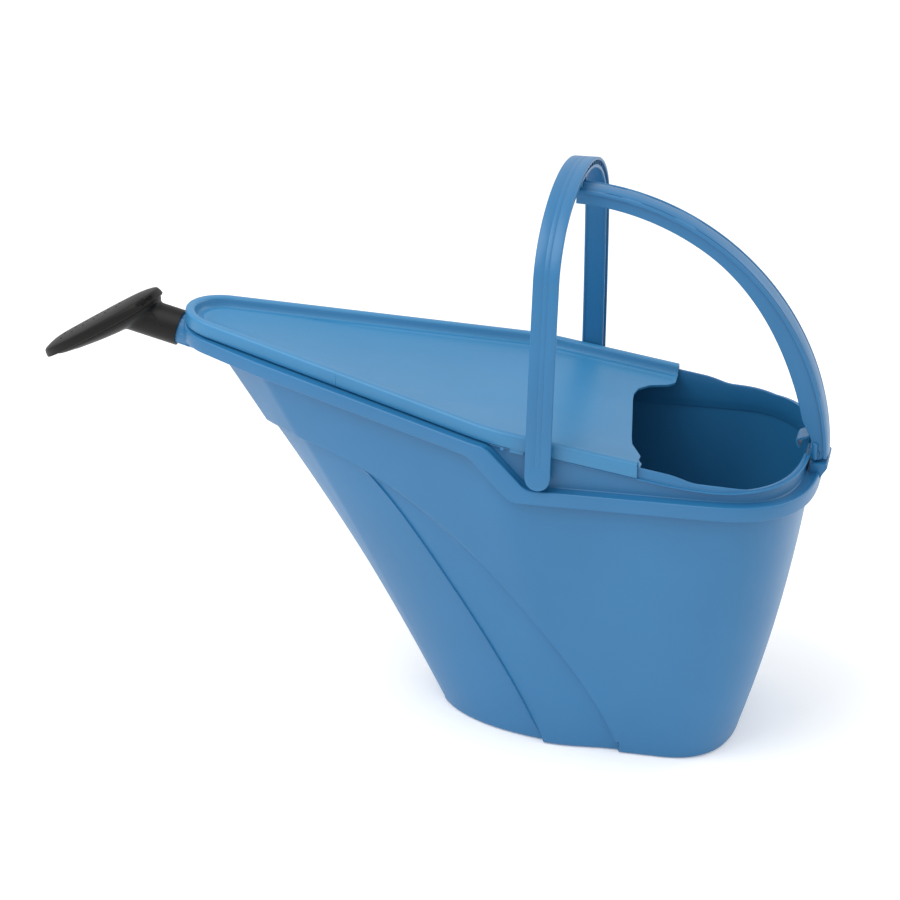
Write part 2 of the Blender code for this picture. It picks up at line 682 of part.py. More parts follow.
def rose_shell_mesh(name, sections):
    """A closed dished shell: the rings in order, with the two middle rings filled flat."""
    bm = bmesh.new()
    rings = [[bm.verts.new(point) for point in section] for section in sections]
    count = len(rings[0])
    middle = len(rings) // 2
    for index in range(len(rings)):
        near = rings[index]
        far = rings[(index + 1) % len(rings)]
        if index == middle:
            continue
        for i in range(count):
            j = (i + 1) % count
            bm.faces.new((near[i], near[j], far[j], far[i]))
    bm.faces.new(rings[middle])
    bm.faces.new(reversed(rings[(middle + 1) % len(rings)]))
    bmesh.ops.recalc_face_normals(bm, faces=bm.faces)
    mesh = bpy.data.meshes.new(name)
    bm.to_mesh(mesh)
    bm.free()
    return mesh


def hole_mesh():
    """Rows of small drain holes across the rose plate."""
    tilt = math.radians(ROSE_TILT_DEG)
    along = Vector((math.cos(tilt), 0.0, math.sin(tilt)))
    normal = Vector((-math.sin(tilt), 0.0, math.cos(tilt)))
    centre = Vector((ROSE_MID_X, 0.0, ROSE_MID_Z))
    turn = normal.to_track_quat("Z", "Y").to_matrix().to_4x4()
    bm = bmesh.new()
    for row in HOLE_ROWS:
        for index in range(HOLE_COUNT):
            reach = HOLE_PITCH * (index - HOLE_COUNT // 2) + HOLE_SHIFT
            spot = centre + along * reach + Vector((0.0, row, 0.0)) + normal * PLATE_HEIGHT
            bmesh.ops.create_cone(bm, cap_ends=True, segments=6, radius1=HOLE_RADIUS,
                                  radius2=HOLE_RADIUS, depth=0.02,
                                  matrix=Matrix.Translation(spot) @ turn)
    mesh = bpy.data.meshes.new("rose_holes")
    bm.to_mesh(mesh)
    bm.free()
    return mesh


def along_spout(distance):
    return SPOUT_POINT + SPOUT_AXIS * distance


def slanted_tube():
    """The elbow's tube: square at the socket's mouth, cut off in the plane of the tray."""
    tilt = math.radians(ROSE_TILT_DEG)
    normal = Vector((-math.sin(tilt), 0.0, math.cos(tilt)))
    centre = Vector((ROSE_MID_X, 0.0, ROSE_MID_Z))
    across = Vector((0.0, 1.0, 0.0))
    upward = SPOUT_AXIS.cross(across)
    start = []
    end = []
    for i in range(32):
        turn = 2 * math.pi * i / 32
        offset = (across * math.cos(turn) + upward * math.sin(turn)) * SOCKET_OUTER_RADIUS
        mouth = along_spout(SOCKET_START) + offset
        reach = ((centre - mouth).dot(normal) - 0.0015) / SPOUT_AXIS.dot(normal)
        start.append(mouth)
        end.append(mouth + SPOUT_AXIS * reach)
    return mesh_from_sweep("socket_tube", [start, end])


def make_rose_elbow(mat):
    """The socket that goes on the stub, and the tray behind the plate."""
    outside = [rose_outline(0.0180, -TRAY_DEPTH), rose_outline(0.0060, -0.0060),
               rose_outline(0.0010, -0.0005), rose_outline(0.0030, -0.0005),
               rose_outline(0.0030, 0.0045)]
    elbow = add_object("rose_elbow", mesh_from_sweep("rose_elbow", outside), PARTS)
    boolean(elbow, add_tool("socket_tube", slanted_tube()), "UNION")
    inside = [rose_outline(0.0190, 0.0022 - TRAY_DEPTH), rose_outline(0.0080, -0.0040),
              rose_outline(0.0050, -0.0006), rose_outline(0.0050, 0.0060)]
    boolean(elbow, add_tool("tray_hollow", mesh_from_sweep("tray_hollow", inside)), "DIFFERENCE")
    socket = cylinder_mesh("socket", along_spout(0.0), along_spout(SOCKET_END), SOCKET_RADIUS, 32)
    boolean(elbow, add_tool("socket", socket), "DIFFERENCE")
    bore = cylinder_mesh("elbow_bore", along_spout(0.0), along_spout(0.0560), ELBOW_BORE, 32)
    boolean(elbow, add_tool("elbow_bore", bore), "DIFFERENCE")
    return finish_part(elbow, mat)


def make_spout_seal(mat):
    start = STUB_TIP + GAP
    ring = cylinder_mesh("spout_seal", along_spout(start), along_spout(start + SEAL_THICKNESS),
                         SOCKET_RADIUS - GAP, 32)
    seal = add_object("spout_seal", ring, PARTS)
    eye = cylinder_mesh("seal_eye", along_spout(0.0), along_spout(0.06), ELBOW_BORE, 32)
    boolean(seal, add_tool("seal_eye", eye), "DIFFERENCE")
    return finish_part(seal, mat)


def main():
    clear_scene()
    collection(PARTS)
    collection(CUTTERS)
    blue = plastic("blue_plastic", BLUE, 0.42)
    panel = plastic("panel_plastic", PANEL_BLUE, 0.38)
    make_body(blue)
    make_deck(panel)
    make_bail(blue)
    make_bail_pins(blue)
    make_catch_pin(blue)
    make_arm(blue)
    make_arm_pin(blue)
    charcoal = plastic("charcoal_plastic", CHARCOAL, 0.45)
    make_rose_plate(charcoal)
    make_rose_elbow(charcoal)
    make_spout_seal(plastic("seal_rubber", SEAL_BLACK, 0.7))


main()
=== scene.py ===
"""Watering can: the detailed pieces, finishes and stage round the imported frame.

Metres, +Z up. +X runs to the rear, where the can is filled, and -X to the spout. Each piece
has its own operator, and the sizes and colours that it reads are properties of the scene.
"""
import json
import math

import bmesh
import bpy
from bpy.props import FloatProperty, FloatVectorProperty, IntProperty, PointerProperty
from mathutils import Matrix, Vector


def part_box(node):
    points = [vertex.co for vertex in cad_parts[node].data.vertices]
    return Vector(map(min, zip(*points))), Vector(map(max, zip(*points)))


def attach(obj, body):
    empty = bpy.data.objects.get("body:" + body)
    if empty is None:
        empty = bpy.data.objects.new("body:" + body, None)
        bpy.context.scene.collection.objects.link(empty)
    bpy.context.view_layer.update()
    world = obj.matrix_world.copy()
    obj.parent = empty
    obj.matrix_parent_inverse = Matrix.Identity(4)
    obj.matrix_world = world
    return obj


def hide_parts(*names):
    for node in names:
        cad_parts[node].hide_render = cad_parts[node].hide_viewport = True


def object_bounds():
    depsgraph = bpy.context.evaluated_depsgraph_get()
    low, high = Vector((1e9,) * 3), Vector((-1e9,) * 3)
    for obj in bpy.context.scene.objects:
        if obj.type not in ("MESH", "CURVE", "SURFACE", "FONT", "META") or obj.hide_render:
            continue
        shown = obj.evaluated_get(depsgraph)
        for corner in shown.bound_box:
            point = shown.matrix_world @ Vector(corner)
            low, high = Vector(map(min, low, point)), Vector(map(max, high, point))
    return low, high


bl_info = {
    "name": "Watering Can",
    "version": (1, 0, 0),
    "blender": (4, 5, 0),
    "location": "3D View > Sidebar > Watering Can",
    "description": "Builds a moulded watering can with a bail, a pouring arm and a pull-off rose",
    "category": "Add Mesh",
}

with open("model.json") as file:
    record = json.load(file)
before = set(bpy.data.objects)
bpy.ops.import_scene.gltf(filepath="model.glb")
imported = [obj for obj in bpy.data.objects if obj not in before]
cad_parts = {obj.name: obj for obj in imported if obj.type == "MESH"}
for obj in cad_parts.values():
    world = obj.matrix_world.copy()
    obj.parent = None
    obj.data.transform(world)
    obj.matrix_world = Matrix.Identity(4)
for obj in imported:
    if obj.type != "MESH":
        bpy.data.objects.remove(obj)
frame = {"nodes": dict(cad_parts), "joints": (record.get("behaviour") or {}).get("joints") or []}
CAD_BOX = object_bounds()

# ---- places taken from the frame ----
JOINTS = {joint["name"]: joint for joint in frame["joints"]}
BAIL_PIVOT = Vector(JOINTS["bail_fold"]["pos_m"])
ARM_PIVOT = Vector(JOINTS["arm_fold"]["pos_m"])
SPOUT_POINT = Vector(JOINTS["rose_swivel"]["pos_m"])
SPOUT_AXIS = Vector(JOINTS["rose_swivel"]["axis"]).normalized()
_, CAN_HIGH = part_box("can_body")
DECK_LOW, DECK_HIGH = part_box("deck_cover")
_, BAIL_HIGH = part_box("bail")
_, ARM_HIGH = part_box("pour_arm")
PIN_LOW, PIN_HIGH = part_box("catch_pin")

# ---- plan of the rim ----
RIM_HALF = DECK_HIGH.y
DECK_REAR_X = DECK_HIGH.x
NOSE_RADIUS = 0.040
NOSE_X = DECK_LOW.x + NOSE_RADIUS
CORNER_X = 0.077            # the tapering sides turn parallel here
FRONT_END_X = CORNER_X + 0.011
CORNER_SOFTNESS = 0.005
REAR_CORNER_X = 0.245       # the rounded rear end starts here
REAR_END_X = ARM_PIVOT.x - 0.0038
REAR_POWER = 2.7            # how square the rear end is

# ---- heights ----
DECK_SLOPE = -0.1576        # the deck rises toward the nose
DECK_Z0 = DECK_HIGH.z + DECK_SLOPE * -DECK_LOW.x
SKIRT_DROP = 0.0120         # depth of the deck's skirt
FLANGE_FLAT_Z = 0.2572      # bead round the mouth
LIP_FLAT_Z = 0.2622         # rim of the mouth
LIP_FLAT_X = 0.2415         # the ramp down from the cover ends here
LIP_SLOPE = -0.435
LIP_DROP = 0.0042           # the rim stays this far below the cover
LIP_SOFTNESS = 0.003
FLANGE_SOFTNESS = 0.004
LEDGE_DROP = 0.0140         # top of the band, below the cover in front
LEDGE_FLAT_Z = 0.2485       # and where it runs level at the rear
LEDGE_DIP_X = 0.0785
BAND_DROP = 0.0260          # lower edge of the band, the same way
BAND_FLAT_Z = 0.2365
BAND_DIP_X = 0.0640
DIP_SLOPE = -1.04           # how steeply both drop ahead of the bail's feet
DIP_SOFTNESS = 0.0050

# ---- base ----
BASE_MID_X = 0.150
BASE_FRONT = 0.136          # reach of the oval ahead of its middle
BASE_FLAT_X = 0.0215        # the tip of the oval is cut off square here
BASE_HALF = 0.087
BASE_STRAIGHT_X = 0.215
BASE_REAR = 0.061
TIP_SOFTNESS = 0.003
FOOT_RING = 0.014           # from the edge of the base to the groove inside it

# ---- feature lines on the front of the wall ----
SWEEP_TOP_Z = 0.247         # height where the long line leaves the nose
SWEEP_START_X = -0.1267
SWEEP_FOOT_X = 0.185
BRANCH_X = -0.046           # where the short line leaves the long one
BRANCH_FOOT_X = 0.120
NOSE_FACE_X = -0.130        # the nose widens ahead of this
NOSE_FACE_RUN = 0.079
NOSE_STEP = 0.0128          # the front panel bows in by this much more at the nose
SWEEP_SPLIT = 0.090         # over this run the two lines part to their full steps
RIDGE_RUN = 0.020           # over this run the ridge rises to its full height
RIDGE_PLACE = 0.60          # the ridge's top, as a share of the step's width
LINE_BISECTIONS = 24
BAND_OPEN_X = -0.120        # the band's underside opens behind this
BAND_OPEN_RUN = 0.050
BAND_SKIN = 0.0022
KEEL_SHARE = 0.04           # columns keep this share of their Y where they crowd together
FOOT_GROOVE = 0.0011

# ---- spout, bracket and hinge ----
STUB_RADIUS = 0.0135
STUB_BORE = 0.0112
STUB_ROOT = 0.024
STUB_LENGTH = 0.036         # the stub stops just short of the rubber ring
BORE_PAST_ROOT = 0.015
BRACKET_HALF = 0.0200
BRACKET_TOP_Z = 0.2493
BRACKET_LOW_Z = 0.2370
BRACKET_CUT_X = 0.0058      # its lower corner is cut back from here
BRACKET_CUT_Z = 0.2462
LUG_HALF = 0.0116
LUG_RADIUS = 0.0042
NOTCH_FRONT_X = 0.3150      # notch in the rim that the arm's foot swings through
NOTCH_LOW_Z = 0.2512
NOTCH_HIGH_Z = 0.2700
ARM_HOLE = 0.0027           # radius of the hole for the arm's pin
BAIL_HOLE = 0.0033          # radius of the holes for the bail's studs
ROOT_RIB_START = 0.004      # the ribs on the stub, measured along the spout
ROOT_RIB_END = 0.0155
POCKET_RIB = ((0.0875, 0.2665), (0.1040, 0.2510))

# ---- cover ----
PANEL_BEND_X = 0.130        # behind this the panel is drawn forward to its free edge
PANEL_DROP = 0.0091         # where the panel leaves the ledge inside the rim
PANEL_SHARES = (0.04, 0.09, 0.16, 0.25, 0.36, 0.48, 0.61, 0.74, 0.87, 1.0)
SKEW_HALF = 0.070           # the skew of the free edge fades out from here
SKEW_FADE = 0.018
DECK_INSET = 0.0070         # from the inside of the rolled rim to the panel
CLIP_FRONT_X = 0.0950       # small catch under the skirt
CLIP_REAR_X = 0.1070
CLIP_PEG_X = 0.0890
SKIRT_RIB_X = -0.060

# ---- bail and arm ----
BAIL_LEAN = 0.0165
SHOULDER_Y = 0.117          # the legs turn into the arch here
SHOULDER_H = 0.155
LEG_PART = 0.42             # share of each half that is leg
LEG_POWER = 1.6
CROWN_PART = 0.16           # share on each side of the top with close ribs
ARCH_PARTS = 150
FOOT_COVER = 0.0022         # what the pin's blind hole leaves of the foot
CATCH_LUG_HALF = 0.0042
CATCH_LUG_Y = 0.0100
CATCH_HOLE = 0.0018
ARM_FOOT_GROW = 0.0120      # the arc opens by this much toward the foot
ARM_START_DEG = -1.8
ARM_END_DEG = 88.0
ARM_PARTS = 170
ARM_CHEEK = 0.0062          # radius of the cheeks round the hinge pin
# where the grooves along the top are deep, in degrees along the arc
GROOVE_RUNS = ((82.0, 77.0), (73.3, 64.7), (60.0, 12.0))
TONGUE_PATH = ((0.3262, 0.2722), (0.3212, 0.2684), (0.3170, 0.2672), (0.3142, 0.2659),
               (0.3130, 0.2640), (0.3138, 0.2614), (0.3158, 0.2590))
TONGUE_IN = 0.0045          # the tongue is this much narrower on each side than the foot
TONGUE_HALF = 0.0008        # half of its thickness
# round knuckle on the outside of each cheek, from the hinge
KNUCKLE_RADIUS = 0.0024
KNUCKLE_TOP = Vector((-0.0012, 0.0, 0.0092))
KNUCKLE_LOW = Vector((-0.0012, 0.0, -0.0055))

# ---- rose ----
ROSE_MID_X = -0.2850
ROSE_MID_Z = 0.3128
SOCKET_START = 0.0165
SOCKET_END = 0.0386
GRIP_ALONG = 0.0495         # middle of the hollow in each side of the plate
GRIP_ACROSS = 0.0200
GRIP_HEIGHT = 0.0052
GRIP_HALVES = (0.0150, 0.0030, 0.0032, 1.0)
# rows of spray holes: distance from the middle line, and shift along it
HOLE_ROWS = ((-0.0122, 0.0), (-0.0050, 0.0020), (0.0050, 0.0020), (0.0122, 0.0))
HOLE_START = -0.0360
HOLE_PITCH = 0.0118
HOLES_IN_ROW = 6
ROW_NARROWING = 0.07        # each hole stands this share nearer the middle
ROSE_SIDES = 120
OVAL_LONG_POWER = 0.9
OVAL_WIDE_POWER = 0.75
OVAL_SPREAD = 0.10          # the oval is this much wider toward the tube
CREASE_START = (-0.2373, 0.0121, 0.3321)
CREASE_END = (-0.2294, 0.0152, 0.3222)
MELT_VOXEL = 0.0009
MELT_ROUNDS = 26
SOCKET_TRIM = 0.030         # clears the tube away from its open end
BORE_END = 0.056            # the narrow bore from the socket into the tray
BORE_RADIUS = 0.0118

# ---- finishes ----
FLOW_SCALE = 9.0            # flow marks in the colour
POLISH_SCALE = 34.0         # patches of more and less shine
ROUGHNESS_SWING = 0.05
WAVE_SCALE = 60.0           # slow unevenness of the surface
GRAIN_SCALE = 1600.0        # fine grain of the mould

# ---- stage ----
CAMERA_SHIFT_X = 0.020
CAMERA_Z = 0.225
FLOOR_HALF = 8.0
OVERHEAD_PLACE = (-0.55, -0.60, 1.75)
OVERHEAD_WIDTH = 1.6
FRONT_PLACE = (0.60, -2.20, 0.90)
FRONT_WIDTH = 1.4
BEHIND_PLACE = (1.30, 0.90, 0.95)
BEHIND_WIDTH = 0.8


# ---- settings ----
def size(name, default, description):
    return FloatProperty(name=name, description=description, default=default, min=0.0,
                         unit="LENGTH", precision=4)


def number(name, default, description, **kind):
    return FloatProperty(name=name, description=description, default=default, **kind)


def angle_of(name, degrees, description):
    return number(name, math.radians(degrees), description, subtype="ANGLE")


def watts(name, default, description):
    return number(name, default, description, unit="POWER")


def colour(name, default, description):
    return FloatVectorProperty(name=name, description=description, default=default,
                               subtype="COLOR", size=3, min=0.0, max=1.0)


class CanSizes(bpy.types.PropertyGroup):
    """Sizes of the bucket."""
    wall: size("Wall", 0.0024, "Thickness of the bucket's wall")
    band_out: size("Band", 0.0080, "How far the band stands out from the rim")
    nose_floor: size("Nose floor", 0.0230, "Depth of the floor under the nose")
    nose_bow: size("Front bow", 0.0046, "How far the front wall bows in")
    side_bow: size("Side bow", 0.0060, "How far the side walls bow out")
    step: size("Step", 0.0036, "Height of the steps along the two sweeping lines")
    step_width: size("Step width", 0.0036, "Width of each step")
    ridge: size("Ridge", 0.0017, "Height of the ridge along the shorter line")
    foot: size("Foot radius", 0.0040, "Rounding under the base")
    gussets: IntProperty(name="Gussets", default=9, min=2,
                         description="Stiffening ribs under the band on each side")


class DeckSizes(bpy.types.PropertyGroup):
    """Sizes of the cover over the front of the can."""
    skin: size("Skin", 0.0021, "Thickness of the cover")
    rim: size("Rim", 0.0080, "Width of the rolled rim")
    dish: size("Dish", 0.0130, "Depth of the panel below the rim")
    edge_x: size("Free edge", 0.1755, "Where the panel ends in the middle")
    edge_half: size("Edge width", 0.045, "Half of the straight part of that edge")
    edge_corner: size("Edge corner", 0.045, "Width over which the edge sweeps back")
    edge_skew: number("Edge skew", 0.15, "How far askew the free edge is cut")


class BailSizes(bpy.types.PropertyGroup):
    """Sizes of the carrying bail."""
    width: size("Width", 0.0208, "Width of the outer strap")
    inner_width: size("Inner width", 0.0178, "Width of the inner strap")
    depth: size("Depth", 0.0080, "Depth from outer to inner face")
    skin: size("Skin", 0.0024, "Thickness of the outer strap")
    foot: size("Foot", 0.0100, "Radius of the round feet")
    leg_rib: size("Rib spacing", 0.033, "Distance between ribs in the legs")
    crown_rib: size("Crown spacing", 0.0095, "Distance between ribs under the crown")


class ArmSizes(bpy.types.PropertyGroup):
    """Sizes of the pouring arm."""
    half: size("Half width", 0.0125, "Half width of the channel at the top")
    foot_half: size("Foot half width", 0.0155, "Half width at the hinge")
    flange: size("Flange", 0.0022, "How far the top stands out over the sides")
    depth: size("Depth", 0.0118, "Depth of the channel")
    foot_depth: size("Foot depth", 0.0060, "Extra depth of the channel above the hinge")
    skin: size("Skin", 0.0024, "Thickness of the channel")
    groove: size("Groove", 0.0016, "Depth of the grooves along the top")


class RoseSizes(bpy.types.PropertyGroup):
    """Sizes of the rose."""
    length: size("Length", 0.121, "Length of the oval plate")
    half: size("Half width", 0.0265, "Half of the plate's width")
    height: size("Plate height", 0.0088, "Height of the plate's rim")
    tray: size("Tray depth", 0.0100, "Depth of the tray behind the plate")
    hole: size("Hole", 0.0011, "Radius of the spray holes")
    tube: size("Tube", 0.0156, "Outer radius of the tube")
    socket: size("Socket", 0.0141, "Radius of the socket that goes over the spout")
    tilt: angle_of("Tilt", 30.8, "Slope of the plate")


class CanColours(bpy.types.PropertyGroup):
    """Colours of the plastics and the stage."""
    body: colour("Body", (0.0175, 0.149, 0.333), "Bucket, bail and arm")
    # painted light: the cover is the same blue plastic as the body, painted lighter because its
    # top gets more light from overhead
    deck: colour("Deck", (0.032, 0.198, 0.400), "Cover over the front of the can")
    rose: colour("Rose", (0.0065, 0.0065, 0.0060), "Rose and its tube")
    seal: colour("Seal", (0.012, 0.012, 0.012), "Rubber ring in the rose")
    floor: colour("Floor", (0.96, 0.96, 0.96), "Floor under the can")


class StageSettings(bpy.types.PropertyGroup):
    """Camera and lights."""
    azimuth: angle_of("Azimuth", 12.9, "Turn of the camera round the can")
    elevation: angle_of("Elevation", 22.5, "Height of the camera as an angle")
    distance: size("Distance", 2.21, "From the camera to the can")
    lens: number("Lens", 104.0, "Focal length in millimetres", subtype="DISTANCE_CAMERA")
    key: watts("Key light", 20.0, "Power of the large light overhead")
    fill: watts("Fill light", 1.5, "Power of the light beside the camera")
    rim: watts("Rim light", 4.0, "Power of the light behind the can")
    sky: number("Sky", 0.86, "Strength of the even light")
    glow: number("Glow", 0.17, "Light given off by the floor")


# ---- small mathematics ----
def clamp(value, low=0.0, high=1.0):
    return min(max(value, low), high)


def smooth(value):
    t = clamp(value)
    return t * t * (3.0 - 2.0 * t)


def soft_min(a, b, softness):
    share = max(softness - abs(a - b), 0.0) / softness
    return min(a, b) - share * share * softness / 4


def soft_max(a, b, softness):
    return -soft_min(-a, -b, softness)


def on_spout(distance):
    """A point of the spout's axis, counted from its joint toward the rose."""
    return SPOUT_POINT + SPOUT_AXIS * distance


def spread(start, end, count, last=False):
    """Evenly spaced values from start, with or without the end."""
    values = [start + (end - start) * i / count for i in range(count)]
    return values + [end] if last else values


def arc(centre, radius, start_deg, end_deg, count):
    """Points (u, v) on an arc, both ends included."""
    u, v = centre
    turns = spread(math.radians(start_deg), math.radians(end_deg), count, last=True)
    return [(u + radius * math.cos(turn), v + radius * math.sin(turn)) for turn in turns]


# ---- heights along the rim ----
def deck_z(x):
    return DECK_Z0 + DECK_SLOPE * x


def dipped(x, drop, flat_z, dip_x):
    """Parallel to the deck in front, then down a slope to a level stretch."""
    front = deck_z(x) - drop
    slope = deck_z(dip_x) - drop + DIP_SLOPE * (x - dip_x)
    return soft_min(front, soft_max(flat_z, slope, DIP_SOFTNESS), DIP_SOFTNESS)


def ledge_z(x):
    return dipped(x, LEDGE_DROP, LEDGE_FLAT_Z, LEDGE_DIP_X)


def band_z(x):
    return dipped(x, BAND_DROP, BAND_FLAT_Z, BAND_DIP_X)


def flange_z(x):
    """Top of the bead that the deck's skirt rests over."""
    return soft_max(deck_z(x) - SKIRT_DROP - 0.0004, FLANGE_FLAT_Z, FLANGE_SOFTNESS)


def lip_z(x):
    """Top of the body's rim: high under the deck, sweeping down to the mouth."""
    ramp = LIP_FLAT_Z + LIP_SLOPE * (x - LIP_FLAT_X)
    mouth = soft_max(LIP_FLAT_Z, ramp, LIP_SOFTNESS)
    return soft_min(deck_z(x) - LIP_DROP, mouth, LIP_SOFTNESS)


# ---- plan outlines ----
def taper_angle():
    run = CORNER_X - NOSE_X
    reach = math.hypot(run, RIM_HALF)
    return math.atan2(RIM_HALF, run) - math.asin(NOSE_RADIUS / reach)


def rear_station(turn, centre_x, reach, half_width):
    """A point of a rounded rear end, a superellipse, and its outward normal."""
    power = 2.0 / REAR_POWER
    x = centre_x + reach * math.sin(turn) ** power
    y = -half_width * max(math.cos(turn), 0.0) ** power
    nx = (max(x - centre_x, 0.0) / reach) ** (REAR_POWER - 1.0) / reach
    ny = -(abs(y) / half_width) ** (REAR_POWER - 1.0) / half_width
    length = math.hypot(nx, ny)
    return (x, y, (nx / length, ny / length))


def side_y(x):
    """Half-width along the tapering and parallel sides, as a negative Y."""
    taper = taper_angle()
    start_x = NOSE_X - NOSE_RADIUS * math.sin(taper)
    start_y = NOSE_RADIUS * math.cos(taper)
    return -soft_min(start_y + (x - start_x) * math.tan(taper), RIM_HALF, CORNER_SOFTNESS)


def side_station(x):
    step = 0.0005
    slope = (side_y(x + step) - side_y(x - step)) / (2 * step)
    length = math.hypot(1.0, slope)
    return (x, side_y(x), (slope / length, -1.0 / length))


def side_xs(end_x):
    """Where the columns stand between the nose and end_x; closer together at the bends."""
    taper = taper_angle()
    xs = spread(NOSE_X - NOSE_RADIUS * math.sin(taper), 0.048, 60)[1:]
    xs += spread(0.048, 0.120, 44)
    xs += spread(0.120, REAR_CORNER_X, 36, last=True)
    return [x for x in xs if x < end_x - 0.001] + [end_x]


def half_rim(end_x):
    """Stations of the near side from the nose tip back to end_x."""
    last = math.pi / 2 - taper_angle()
    stations = []
    for turn in spread(0.0, last, 24, last=True):
        normal = (-math.cos(turn), -math.sin(turn))
        stations.append((NOSE_X + NOSE_RADIUS * normal[0], NOSE_RADIUS * normal[1], normal))
    stations += [side_station(x) for x in side_xs(end_x)]
    return stations


def inset(station, distance):
    """Move a rim point inward along its normal, not past the middle."""
    x, y, normal = station
    return (x - normal[0] * distance, min(y - normal[1] * distance, y * KEEL_SHARE))


def mirrored(points):
    """The same points on the far side."""
    return [Vector((p[0], -p[1], p[2])) for p in points]


# ---- meshes ----
def loft(name, rows, closed_rows=True, caps=False):
    """Quads through rows of points. A row may be a single point, which makes a fan."""
    bm = bmesh.new()
    rings = [[bm.verts.new(p) for p in row] for row in rows]
    for near, far in zip(rings, rings[1:]):
        count = max(len(near), len(far))
        last = count if closed_rows else count - 1
        for i in range(last):
            j = (i + 1) % count
            corners = [near[i % len(near)], near[j % len(near)],
                       far[j % len(far)], far[i % len(far)]]
            unique = list(dict.fromkeys(corners))
            bm.faces.new(unique)
    if caps:
        bm.faces.new(list(reversed(rings[0])))
        bm.faces.new(rings[-1])
    bmesh.ops.remove_doubles(bm, verts=bm.verts, dist=1e-6)
    bmesh.ops.recalc_face_normals(bm, faces=bm.faces)
    return mesh_of(bm, name)


def mesh_of(bm, name):
    mesh = bpy.data.meshes.new(name)
    bm.to_mesh(mesh)
    bm.free()
    return mesh


def link(name, data):
    """A new object in the scene, made of a mesh, a light or a camera."""
    obj = bpy.data.objects.new(name, data)
    bpy.context.scene.collection.objects.link(obj)
    return obj


def rod(start, end, radius, sides=32, end_radius=None, edge=0.0):
    """A closed round bar between two points, with its end edges rounded."""
    axis = Vector(end) - Vector(start)
    turn = axis.to_track_quat("Z", "Y").to_matrix().to_4x4()
    place = Matrix.Translation((Vector(start) + Vector(end)) / 2) @ turn
    bm = bmesh.new()
    bmesh.ops.create_cone(bm, cap_ends=True, segments=sides, radius1=radius,
                          radius2=radius if end_radius is None else end_radius,
                          depth=axis.length, matrix=place)
    round_edges(bm, edge)
    return mesh_of(bm, "rod")


def rod_across(middle, half, radius, sides=32):
    """A round bar along Y, as far to each side of its middle."""
    reach = Vector((0.0, half, 0.0))
    return rod(middle - reach, middle + reach, radius, sides)


def block(low, high, edge=0.0, tilt=0.0):
    """A closed block with rounded edges, turned about the Y axis when tilt is given."""
    low = Vector(low)
    high = Vector(high)
    place = Matrix.Translation((low + high) / 2) @ Matrix.Diagonal((*(high - low), 1.0))
    bm = bmesh.new()
    bmesh.ops.create_cube(bm, size=1.0, matrix=place)
    round_edges(bm, edge)
    if tilt:
        centre = (low + high) / 2
        turn = Matrix.Rotation(tilt, 4, "Y")
        bm.transform(Matrix.Translation(centre) @ turn @ Matrix.Translation(-centre))
    return mesh_of(bm, "block")


def round_edges(bm, edge):
    if edge > 0.0:
        sharp = [e for e in bm.edges if e.calc_face_angle(0.0) > math.radians(40)]
        bmesh.ops.bevel(bm, geom=sharp, offset=edge, segments=3, profile=0.5,
                        affect="EDGES", clamp_overlap=True)


def bar(section, path):
    """A closed bar whose section is given at each place of the path."""
    return loft("bar", [section(place) for place in path], caps=True)


def join(name, meshes):
    """One mesh out of several, each a closed body of its own."""
    bm = bmesh.new()
    for mesh in meshes:
        bm.from_mesh(mesh)
        if not mesh.users:
            bpy.data.meshes.remove(mesh)
    return mesh_of(bm, name)


def combine(obj, mesh, operation):
    """Join or cut obj with a closed mesh, and keep only the result."""
    tool = link("tool", mesh)
    mod = obj.modifiers.new(operation, "BOOLEAN")
    mod.operation = operation
    mod.object = tool
    mod.solver = "MANIFOLD"
    before = len(obj.data.vertices)
    bake(obj)
    bpy.data.objects.remove(tool)
    if len(obj.data.vertices) == before:
        raise RuntimeError(f"{obj.name}: the {operation.lower()} changed nothing")
    return obj


def drilled(mesh, cutter):
    """A loose closed mesh with a hole cut in it."""
    obj = combine(link("drilled", mesh), cutter, "DIFFERENCE")
    result = obj.data
    bpy.data.objects.remove(obj)
    return result


def bake(obj):
    """Replace the object's mesh with its evaluated one."""
    bpy.context.view_layer.update()
    evaluated = obj.evaluated_get(bpy.context.evaluated_depsgraph_get())
    mesh = bpy.data.meshes.new_from_object(evaluated)
    obj.modifiers.clear()
    obj.data = mesh
    mesh.name = obj.name


def bevelled(obj, width, degrees):
    """Round every edge sharper than an angle."""
    mod = obj.modifiers.new("edges", "BEVEL")
    mod.width = width
    mod.segments = 2
    mod.limit_method = "ANGLE"
    mod.angle_limit = math.radians(degrees)
    mod.harden_normals = False
    bake(obj)


def finished(obj, mat, body, slot, *nodes, sharp=38.0):
    """Shade the piece, give it its finish, and fix it to its body."""
    obj.data.materials.clear()
    obj.data.materials.append(mat)
    obj.data.shade_smooth()
    obj.data.set_sharp_from_angle(angle=math.radians(sharp))
    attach(obj, body)
    if nodes:
        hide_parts(*nodes)
    return obj


# ---- finishes ----
def add_node(tree, kind, **values):
    """A new node with the values of some of its input sockets."""
    node = tree.nodes.new(kind)
    for name, value in values.items():
        node.inputs[name].default_value = value
    return node


def noise(tree, place, scale, detail):
    node = add_node(tree, "ShaderNodeTexNoise", Scale=scale, Detail=detail, Roughness=0.55)
    tree.links.new(place.outputs["Object"], node.inputs["Vector"])
    return node


